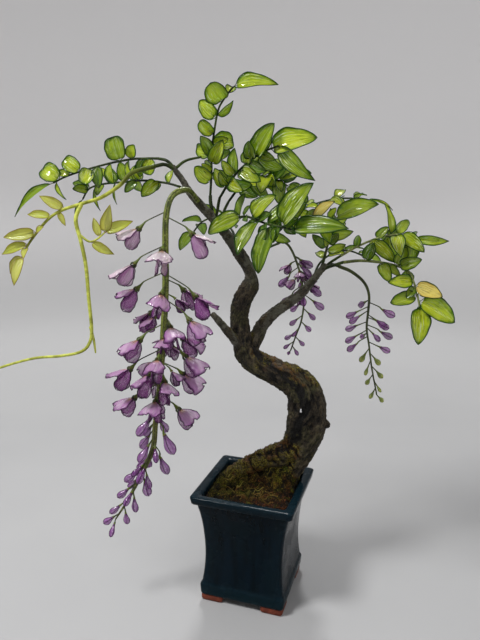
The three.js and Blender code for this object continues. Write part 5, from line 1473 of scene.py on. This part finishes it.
class Finish(Nodes):
    """The node tree of a material with one Principled shader."""

    def __init__(self, name, **sockets):
        self.made = bpy.data.materials.new(name)
        self.made.use_nodes = True
        super().__init__(self.made.node_tree)
        self.material(**sockets)

    def material(self, **sockets):
        """The material, with these values on its shader's sockets."""
        shader = self.tree.nodes["Principled BSDF"]
        for key, value in sockets.items():
            self.feed(shader.inputs[key.replace("_", " ")], value)
        return self.made

    def speckled(self, coarse, fine):
        """Mottling of two scales over the frame."""
        return self.use(SPECKLE, Where=self.place(), Coarse=coarse, Fine=fine)

    def clear_through(self, tint, share):
        """Lets part of the light through a film, tinted on its way."""
        glow = self.add("ShaderNodeBsdfTranslucent")
        self.feed(glow.inputs["Color"], tint)
        both = self.add("ShaderNodeMixShader")
        self.feed(both.inputs[0], share)
        self.feed(both.inputs[1], self.tree.nodes["Principled BSDF"].outputs[0])
        self.feed(both.inputs[2], glow.outputs[0])
        self.feed(self.tree.nodes["Material Output"].inputs["Surface"], both.outputs[0])


def leaf_film():
    """Clear green resin. Its tone runs from 0, yellow and buff, over lime at a third, to deep green."""
    nodes = Finish("leaf_film", Roughness=0.3, Specular_IOR_Level=0.15, Coat_Weight=0.6, Coat_Roughness=0.04)
    _, across, tone, _ = nodes.marks()
    heart = nodes.blend(rgb(242, 224, 124), rgb(206, 212, 40), tone, 0.0, 0.3)
    heart = nodes.blend(heart, rgb(108, 142, 16), tone, 0.35, 1.0)
    edge = nodes.blend(rgb(220, 190, 96), rgb(84, 128, 10), tone, 0.0, 0.3)
    edge = nodes.blend(edge, rgb(8, 50, 2), tone, 0.3, 1.0)
    middle = nodes.range(nodes.math("ABSOLUTE", across), 0.34, 0.08)
    band = nodes.times(middle, nodes.range(tone, 0.55, 0.85))
    heart = nodes.mix(nodes.times(band, 0.7), heart, rgb(40, 80, 14))
    vein = nodes.blend(rgb(190, 148, 74), rgb(40, 76, 10), tone, 0.0, 0.3)
    # Glint is the colour of the film's painted highlights, and Glint_Share how strongly they are painted
    film = nodes.use(VEINED_FILM, Heart=heart, Edge=edge, Vein=vein, Glint=rgb(250, 255, 210), Line=rgb(10, 30, 2),
                     Line_Share=0.9, Vein_Turns=10.4, Vein_Share=0.62, Glint_Share=0.9)
    tint = nodes.blend(rgb(246, 226, 130), rgb(170, 216, 30), tone, 0.0, 0.3)
    nodes.clear_through(nodes.blend(tint, rgb(92, 162, 18), tone, 0.3, 1.0), 0.3)
    return nodes.material(Base_Color=film["Colour"], Normal=nodes.bump(film["Height"], 0.8, 1.0),
                          Alpha=nodes.range(film["Rim"], 0.0, 0.8, 0.76, 1.0))


def young_film():
    """The young shoot's thin cream and yellow-green leaflets with reddish edges."""
    nodes = Finish("young_film", Roughness=0.22, Coat_Weight=0.3, Coat_Roughness=0.1)
    tone = nodes.marks()[2]
    heart = nodes.blend(rgb(222, 228, 128), rgb(190, 206, 78), tone, 0.3, 0.7)
    # Glint is the colour of the film's painted highlights, and Glint_Share how strongly they are painted
    film = nodes.use(VEINED_FILM, Heart=heart, Edge=rgb(152, 158, 52), Vein=rgb(140, 138, 56), Line=rgb(128, 96, 50),
                     Line_Share=0.6, Glint=rgb(236, 232, 178), Vein_Turns=7.85, Vein_Share=0.4, Glint_Share=0.45)
    nodes.clear_through(rgb(218, 212, 96), 0.42)
    return nodes.material(Base_Color=film["Colour"], Normal=nodes.bump(film["Height"], 0.3, 0.7),
                          Alpha=nodes.plus(0.7, nodes.times(film["Rim"], 0.25)))


def petal_film(name, wing, wing_edge, hood, hood_edge, hood_vein, tint, alpha):
    """Lilac resin. Tones over 2 are banners, which are paler and have a yellow heart near the root."""
    nodes = Finish(name, Roughness=0.2, Coat_Weight=0.35, Coat_Roughness=0.08)
    along, across, tone, _ = nodes.marks()
    is_hood = nodes.math("GREATER_THAN", tone, 1.5)
    own = nodes.math("SUBTRACT", tone, nodes.times(is_hood, 2.0))
    heart = nodes.blend(wing, wing_edge, own, 0.2, 1.0)
    edge = nodes.mix(is_hood, wing_edge, hood_edge)
    # Glint is the colour of the petals' painted highlights, and Glint_Share how strongly they are painted
    film = nodes.use(VEINED_FILM, Heart=nodes.mix(is_hood, heart, hood), Edge=edge,
                     Vein=nodes.mix(is_hood, rgb(84, 36, 84), hood_vein), Glint=rgb(246, 230, 240),
                     Line=nodes.mix(is_hood, rgb(44, 14, 46), rgb(92, 46, 94)), Line_Share=0.9,
                     Vein_Turns=9.0, Vein_Share=0.6, Glint_Share=0.6)
    close = nodes.times(nodes.range(along, 0.42, 0.1), nodes.range(nodes.math("ABSOLUTE", across), 0.75, 0.2))
    spot = nodes.times(close, is_hood)
    nodes.clear_through(tint, 0.2)
    return nodes.material(Base_Color=nodes.mix(nodes.times(spot, 0.85), film["Colour"], rgb(226, 178, 84)),
                          Normal=nodes.bump(film["Height"], 0.35, 0.7),
                          Alpha=nodes.plus(alpha, nodes.times(film["Rim"], 0.3)))


def bud_skin():
    """Closed purple buds: clear lilac on their flanks, darker towards foot, tip and seam."""
    nodes = Finish("bud_skin", Roughness=0.18, Coat_Weight=0.6, Coat_Roughness=0.06)
    along, across, tone, _ = nodes.marks()
    flank = nodes.blend(rgb(174, 98, 182), rgb(124, 54, 136), tone, 0.3, 1.0)
    middle = nodes.math("ABSOLUTE", nodes.math("SUBTRACT", nodes.math("ABSOLUTE", across), 0.5))
    seam = nodes.range(middle, 0.2, 0.48)
    ends = nodes.range(nodes.math("ABSOLUTE", nodes.math("SUBTRACT", along, 0.6)), 0.25, 0.6)
    dark = nodes.math("MAXIMUM", nodes.times(seam, 0.55), ends)
    cloud = nodes.noise(nodes.place(), 0.5, 2.0)
    colour = nodes.mix(dark, flank, rgb(72, 32, 82))
    colour = nodes.blend(colour, rgb(218, 168, 218), cloud, 0.52, 0.7, 0.45)
    nodes.clear_through(rgb(200, 140, 210), 0.16)
    return nodes.material(Base_Color=colour, Roughness=nodes.range(cloud, 0.3, 0.7, 0.12, 0.26),
                          Alpha=nodes.range(dark, 0.0, 0.6, 0.5, 0.85))


def green_bud():
    """Unripe buds: olive feet and brighter, yellower tips."""
    nodes = Finish("green_bud", Roughness=0.35, Coat_Weight=0.2)
    along, _, tone, _ = nodes.marks()
    colour = nodes.blend(rgb(84, 100, 34), rgb(128, 142, 52), tone, 0.2, 0.9)
    colour = nodes.blend(colour, rgb(166, 172, 84), along, 0.3, 0.9)
    return nodes.material(Base_Color=colour,
                          Roughness=nodes.range(nodes.noise(nodes.place(), 1.2), 0.3, 0.7, 0.3, 0.5))


def wire(name, dark, light, pale, roughness, foot=None):
    """Wire wrapped in tape or dipped in paint: uneven colour along it and fine wraps across it. A tone
    over 0 turns it to the pale colour; foot is the colour of its first centimetres, if that differs."""
    nodes = Finish(name, Specular_IOR_Level=0.15)
    along, _, tone, _ = nodes.marks()
    uneven = nodes.speckled(0.07, 0.35)
    colour = nodes.mix(uneven["Coarse"], dark, light)
    worn = nodes.range(uneven["Coarse"], 0.65, 0.35, 0.0, 0.5)
    colour = nodes.mix(tone, colour, nodes.mix(worn, pale, dark))
    if foot:
        young = nodes.times(nodes.range(along, 58.0, 12.0), nodes.math("LESS_THAN", tone, 0.5))
        colour = nodes.mix(young, colour, foot)
    colour = nodes.mix(nodes.times(uneven["Fine"], 0.35), colour, dark)
    wraps = nodes.math("SINE", nodes.times(along, 3.2))
    return nodes.material(Base_Color=colour,
                          Roughness=nodes.range(uneven["Fine"], 0.0, 1.0, roughness, roughness + 0.18),
                          Normal=nodes.bump(nodes.plus(wraps, uneven["Height"]), 0.06, 0.6))


def raceme_stem():
    """The racemes' stems: olive with dark lines, darker and browner where they are thin, and yellower
    cups with a rusty mouth."""
    nodes = Finish("raceme_stem", Specular_IOR_Level=0.35)
    along, across, tone, _ = nodes.marks()
    uneven = nodes.speckled(0.05, 0.5)
    stem = nodes.mix(uneven["Coarse"], rgb(60, 76, 24), rgb(116, 128, 48))
    stem = nodes.blend(stem, rgb(70, 60, 26), along, 120.0, 300.0, 0.55)
    lines = nodes.math("ABSOLUTE", nodes.math("SINE", nodes.times(across, 12.6)))
    stem = nodes.blend(stem, rgb(34, 42, 14), lines, 0.55, 0.15, 0.9)
    flecks = nodes.noise(nodes.place(), 0.55, 3.0)
    stem = nodes.blend(stem, rgb(164, 166, 96), flecks, 0.56, 0.66, 0.6)
    stem = nodes.blend(stem, rgb(44, 40, 18), flecks, 0.45, 0.36, 0.7)
    slim = nodes.mix(uneven["Coarse"], rgb(40, 50, 24), rgb(72, 84, 34))
    cup = nodes.math("LESS_THAN", tone, 0.25)
    slim = nodes.mix(nodes.times(nodes.range(along, 0.5, 0.85), cup), slim, rgb(88, 104, 34))
    rust = nodes.times(nodes.range(along, 0.93, 1.0, 0.0, 0.6), cup)
    slim = nodes.mix(rust, slim, rgb(140, 104, 40))
    colour = nodes.blend(slim, stem, tone, 0.35, 0.55)
    colour = nodes.mix(nodes.times(uneven["Fine"], 0.3), colour, rgb(60, 52, 28))
    return nodes.material(Base_Color=colour, Roughness=nodes.range(uneven["Fine"], 0.0, 1.0, 0.38, 0.6),
                          Normal=nodes.bump(uneven["Height"], 0.12, 0.5))


def bark():
    """Dark granular bark: brown, with painted shade that turns its furrows near black and a painted
    highlight, partly also wear, that lightens its raised ridges, an olive bloom, grey scuffs, and moss where
    it is marked, with painted shade between the moss's clumps."""
    nodes = Finish("bark", Specular_IOR_Level=0.25)
    moss, rise, thick, _ = nodes.marks()
    grain = nodes.marks("grain")[3]
    fibres = nodes.noise(nodes.stretched(grain, (1.0, 1.0, 0.45)), 0.7, 5.0, 0.7)
    where = nodes.place()
    uneven = nodes.speckled(0.05, 0.6)
    colour = nodes.mix(uneven["Coarse"], rgb(50, 43, 33), rgb(72, 62, 46))
    bloom = nodes.range(nodes.noise(where, 0.035, 2.0), 0.46, 0.6, 0.0, 0.7)
    colour = nodes.mix(bloom, colour, rgb(62, 62, 32))
    colour = nodes.blend(rgb(24, 20, 15), colour, fibres, 0.4, 0.6)
    # painted shade: near black where the bark lies low in its furrows and pits
    colour = nodes.blend(colour, rgb(12, 10, 8), rise, 0.05, -0.6)
    # painted highlight, partly also wear: lighter where the bark rises on its ridges
    colour = nodes.mix(nodes.times(nodes.range(rise, 0.3, 0.95), 0.4), colour, rgb(106, 96, 74))
    scuffs = nodes.range(nodes.noise(where, 0.11, 4.0, 0.65), 0.44, 0.58, 0.15, 0.75)
    scuffs = nodes.times(nodes.range(thick, 0.46, 0.24), scuffs)
    colour = nodes.mix(scuffs, colour, rgb(104, 102, 90))
    tufts = nodes.times(moss, nodes.range(nodes.noise(where, 0.3, 4.0), 0.3, 0.6, 0.35, 1.0))
    green = nodes.blend(rgb(22, 17, 7), rgb(128, 116, 40), nodes.noise(where, 0.8, 4.0, 0.7), 0.42, 0.62)
    green = nodes.blend(green, rgb(84, 48, 20), nodes.noise(where, 0.06, 2.0), 0.46, 0.58, 0.75)
    # painted shade: the moss on the bark turns near black where it lies low between its clumps
    green = nodes.blend(green, rgb(20, 16, 9), rise, 0.4, -0.5)
    colour = nodes.blend(colour, green, tufts, 0.2, 0.75)
    height = nodes.plus(nodes.times(fibres, 1.2), nodes.times(uneven["Height"], 1.6))
    return nodes.material(Base_Color=colour, Roughness=nodes.range(uneven["Fine"], 0.0, 1.0, 0.6, 0.88),
                          Normal=nodes.bump(height, 1.0, 0.9))


def moss():
    """Moss from yellow-green to brown and rust, with lighter flecks of leaf tips and near-black flecks, and
    painted shade that darkens each sprig towards its foot and turns the bed near black between its clumps."""
    nodes = Finish("moss", Specular_IOR_Level=0.2)
    along, brown_share, tone, _ = nodes.marks()
    where = nodes.place()
    bright = nodes.math("POWER", tone, 2.2)
    green = nodes.mix(bright, rgb(24, 21, 5), rgb(112, 106, 24))
    brown = nodes.mix(bright, rgb(26, 15, 5), rgb(100, 48, 18))
    colour = nodes.mix(brown_share, green, brown)
    stray = nodes.range(nodes.noise(where, 0.16, 2.0), 0.56, 0.66, 0.0, 0.6)
    colour = nodes.mix(stray, colour, rgb(66, 44, 18))
    lush = nodes.range(nodes.noise(where, 0.1, 2.0), 0.57, 0.64, 0.0, 0.6)
    colour = nodes.mix(lush, colour, rgb(92, 104, 12))
    flecks = nodes.noise(where, 0.8, 4.0, 0.7)
    tips = nodes.mix(brown_share, rgb(186, 176, 66), rgb(168, 96, 42))
    colour = nodes.blend(colour, tips, flecks, 0.56, 0.63, 0.85)
    colour = nodes.blend(colour, rgb(10, 7, 3), flecks, 0.53, 0.43, 0.9)
    # painted shade: near black towards the sprigs' feet and between the bed's clumps, where the along mark is low
    colour = nodes.blend(colour, rgb(9, 6, 2), along, 0.75, 0.0, 0.95)
    uneven = nodes.speckled(0.3, 1.4)
    return nodes.material(Base_Color=colour, Roughness=nodes.range(uneven["Fine"], 0.0, 1.0, 0.75, 0.95),
                          Normal=nodes.bump(uneven["Height"], 0.8, 0.8))


def soil():
    nodes = Finish("soil_mix")
    uneven = nodes.speckled(0.25, 1.1)
    colour = nodes.mix(uneven["Coarse"], rgb(44, 32, 22), rgb(84, 64, 44))
    return nodes.material(Base_Color=nodes.mix(nodes.times(uneven["Fine"], 0.4), colour, rgb(120, 100, 76)),
                          Roughness=nodes.range(uneven["Fine"], 0.0, 1.0, 0.8, 1.0),
                          Normal=nodes.bump(uneven["Height"], 1.0, 0.8))


def glaze():
    """Dark teal glaze: deepest in its pools, thin and greyer on edges, with faint runs and specks."""
    nodes = Finish("glaze", Coat_Weight=0.09, Coat_Roughness=0.03, Specular_IOR_Level=0.05)
    edge, height, _, _ = nodes.marks()
    where = nodes.place()
    streak = nodes.noise(nodes.stretched(where, (1.0, 1.0, 0.12)), 0.12, 3.0)
    uneven = nodes.speckled(0.035, 0.9)
    colour = nodes.blend(rgb(1, 9, 15), rgb(3, 17, 27), streak, 0.35, 0.65)
    colour = nodes.mix(nodes.times(uneven["Coarse"], 0.5), colour, rgb(3, 19, 25))
    colour = nodes.blend(colour, rgb(8, 26, 34), height, 0.93, 0.985, 0.6)
    colour = nodes.blend(colour, rgb(5, 29, 36), height, 0.19, 0.1, 0.7)
    thin = nodes.times(edge, nodes.range(nodes.noise(where, 0.2, 3.0), 0.3, 0.6, 0.35, 1.0))
    colour = nodes.mix(nodes.times(thin, 0.4), colour, rgb(20, 38, 46))
    return nodes.material(Base_Color=colour, Roughness=nodes.range(uneven["Coarse"], 0.0, 1.0, 0.16, 0.34),
                          Normal=nodes.bump(uneven["Height"], 0.12, 0.35))


def clay():
    nodes = Finish("terracotta", Specular_IOR_Level=0.3)
    uneven = nodes.speckled(0.15, 1.6)
    colour = nodes.mix(uneven["Coarse"], rgb(98, 44, 28), rgb(126, 60, 40))
    return nodes.material(Base_Color=nodes.mix(nodes.times(uneven["Fine"], 0.4), colour, rgb(70, 28, 18)),
                          Roughness=nodes.range(uneven["Fine"], 0.0, 1.0, 0.7, 0.92),
                          Normal=nodes.bump(uneven["Height"], 0.35, 0.7))


def studio_paper():
    """Pale grey paper, lighter far out on the floor and up the wall, where less light falls."""
    nodes = Finish("studio_paper", Roughness=0.9, Specular_IOR_Level=0.1)
    where = nodes.place()
    parts, far = nodes.add("ShaderNodeSeparateXYZ"), nodes.add("ShaderNodeVectorMath", operation="LENGTH")
    nodes.feed(parts.inputs[0], where)
    nodes.feed(far.inputs[0], where)
    colour = nodes.mix(nodes.noise(where, 0.004, 2.0), rgb(160, 160, 161), rgb(170, 170, 170))
    colour = nodes.blend(colour, rgb(206, 206, 206), far.outputs["Value"], 500.0, 1700.0)
    colour = nodes.blend(colour, rgb(236, 235, 235), parts.outputs[2], 0.0, 300.0)
    return nodes.material(Base_Color=colour)


LEAF_FILM = leaf_film()
YOUNG_FILM = young_film()
PETAL_FILM = petal_film("petal_film", rgb(168, 80, 168), rgb(92, 32, 98), rgb(226, 186, 222), rgb(162, 106, 166),
                        rgb(128, 70, 132), rgb(196, 124, 192), 0.34)
PALE_FILM = petal_film("pale_petal_film", rgb(180, 116, 180), rgb(124, 62, 128), rgb(255, 248, 248), rgb(238, 212, 230),
                       rgb(206, 164, 198), rgb(240, 214, 230), 0.26)
BUD_SKIN = bud_skin()
GREEN_BUD = green_bud()
FROND_STEM = wire("frond_stem", rgb(24, 32, 16), rgb(56, 70, 26), rgb(164, 172, 104), 0.45)
LEAF_RIM = wire("leaf_rim", rgb(12, 36, 2), rgb(34, 72, 6), rgb(44, 84, 8), 0.5)
YOUNG_STEM = wire("young_stem", rgb(98, 102, 24), rgb(190, 196, 78), rgb(194, 200, 90), 0.4, foot=rgb(62, 74, 26))
YOUNG_RIM = wire("young_rim", rgb(116, 88, 42), rgb(158, 146, 62), rgb(158, 146, 62), 0.4)
PETAL_RIM = wire("petal_rim", rgb(30, 8, 32), rgb(62, 26, 64), rgb(64, 26, 66), 0.5)
RACEME_STEM = raceme_stem()
BARK = bark()
MOSS = moss()
STRAW = wire("dry_strand", rgb(78, 68, 26), rgb(172, 160, 78), rgb(104, 62, 28), 0.7)
SOIL = soil()
GLAZE = glaze()
CLAY = clay()
PAPER = studio_paper()

# ---- the plant

take_wood()
trunk_mesh = bark_mesh()
piece("trunk_bark", trunk_mesh, [BARK], "bark", ["trunk_and_branches"])
twigs = Stock()
for twig_route, twig_radii in TWIGS:
    add_stem(twigs, twig_route, twig_radii, relief=ribbed(0.08, 3, 9))
twigs.as_piece("twigs", [FROND_STEM], "bark", ["trunk_and_branches"])
add_main_raceme()
for bud_raceme in BUD_RACEMES:
    add_bud_raceme(bud_raceme)
for each_frond in FRONDS:
    add_frond(each_frond)
for each_frond in FRONDS:
    if each_frond["name"] in SMALL_LEAVES:
        add_small_leaves(each_frond, *SMALL_LEAVES[each_frond["name"]])
for small_blooms in SMALL_BLOOMS:
    add_small_blooms(*small_blooms)
add_pot()
add_feet()
add_moss()
add_moss_sprigs(trunk_mesh)
add_strands()
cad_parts["soil"].data.materials.clear()
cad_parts["soil"].data.materials.append(SOIL)

# ---- studio

CAMERA = {"at": (-19.2, -612.9, 439.7), "pitch": 12.03, "roll": 0.89}  # in the tree's view
FOCUS_PIXELS, LONG_SIDE = 600, 640  # length of the lens and long side of its view, in pixels
FLOOR_REACH, WALL_BEND, WALL_TOP, STAGE_SIDES = 1.6, 0.9, 3.4, 64  # in metres, and the faces round it
# Lamps: where they hang and point in the tree's view, their size in metres and their power in watts.
LAMPS = {"key": ((-800, -500, 1500), (0, 0, 250), 0.4, 23), "fill": ((900, -900, 1000), (0, 0, 250), 0.5, 3.4),
         "back": ((0, 1000, 1500), (0, 0, 350), 0.28, 14)}
SKY = (0.98, 0.98, 1.0, 1), 0.34  # colour and strength


def add_camera():
    """A camera in front of the tree, a little above and tipped."""
    data = bpy.data.cameras.new("camera")
    data.sensor_width = 36
    data.lens = FOCUS_PIXELS * data.sensor_width / LONG_SIDE
    pitch, roll = math.radians(CAMERA["pitch"]), math.radians(CAMERA["roll"])
    right, up = np.array([1.0, 0, 0]), np.array([0, math.sin(pitch), math.cos(pitch)])
    x = right * math.cos(roll) + up * math.sin(roll)
    y = up * math.cos(roll) - right * math.sin(roll)
    axes = (framed([x, y, np.cross(x, y)]) - framed([0, 0, 0])) / MM
    made = placed("camera", data)
    made.matrix_world = Matrix.Translation(framed(CAMERA["at"])) @ Matrix(axes.T.tolist()).to_4x4()
    bpy.context.scene.camera = made


def add_stage():
    """A floor that curves up into a round wall."""
    profile = [(0.6, 0.0), (FLOOR_REACH, 0.0)]
    profile += [(FLOOR_REACH + WALL_BEND * math.sin(a), WALL_BEND - WALL_BEND * math.cos(a))
                for a in np.linspace(0.1, math.pi / 2, 12)]
    profile += [(FLOOR_REACH + WALL_BEND, WALL_TOP)]
    around = np.linspace(0, 2 * math.pi, STAGE_SIDES, endpoint=False)
    rings = [[(r * math.cos(a), r * math.sin(a), z) for a in around] for r, z in profile]
    points = np.vstack([*rings, [(0, 0, 0)]])
    k = np.arange(STAGE_SIDES)
    middle = np.stack([np.full(STAGE_SIDES, len(points) - 1), k, (k + 1) % STAGE_SIDES], 1)
    stock = Stock()
    stock.add(points, [grid_faces(len(rings), STAGE_SIDES, ring=True)[:, ::-1], middle])
    floor = placed("stage_floor", stock.mesh("stage_floor", np.asarray))
    floor.data.materials.append(PAPER)


def add_lamp(name, at, to, size, power):
    data = bpy.data.lights.new(name, "AREA")
    data.shape = "DISK"
    data.size = size
    data.energy = power
    made = placed(name, data)
    made.location = framed(at)
    made.rotation_mode = "QUATERNION"
    made.rotation_quaternion = Vector((framed(at) - framed(to)).tolist()).to_track_quat("Z", "Y")
    made.visible_camera = False


def add_sky():
    """Even light from all round."""
    world = bpy.data.worlds.new("studio")
    world.use_nodes = True
    sky = world.node_tree.nodes["Background"].inputs
    sky["Color"].default_value, sky["Strength"].default_value = SKY
    bpy.context.scene.world = world


add_camera()
add_stage()
for lamp_name, lamp in LAMPS.items():
    add_lamp(lamp_name, *lamp)
add_sky()
bpy.context.scene.view_settings.view_transform = "Standard"
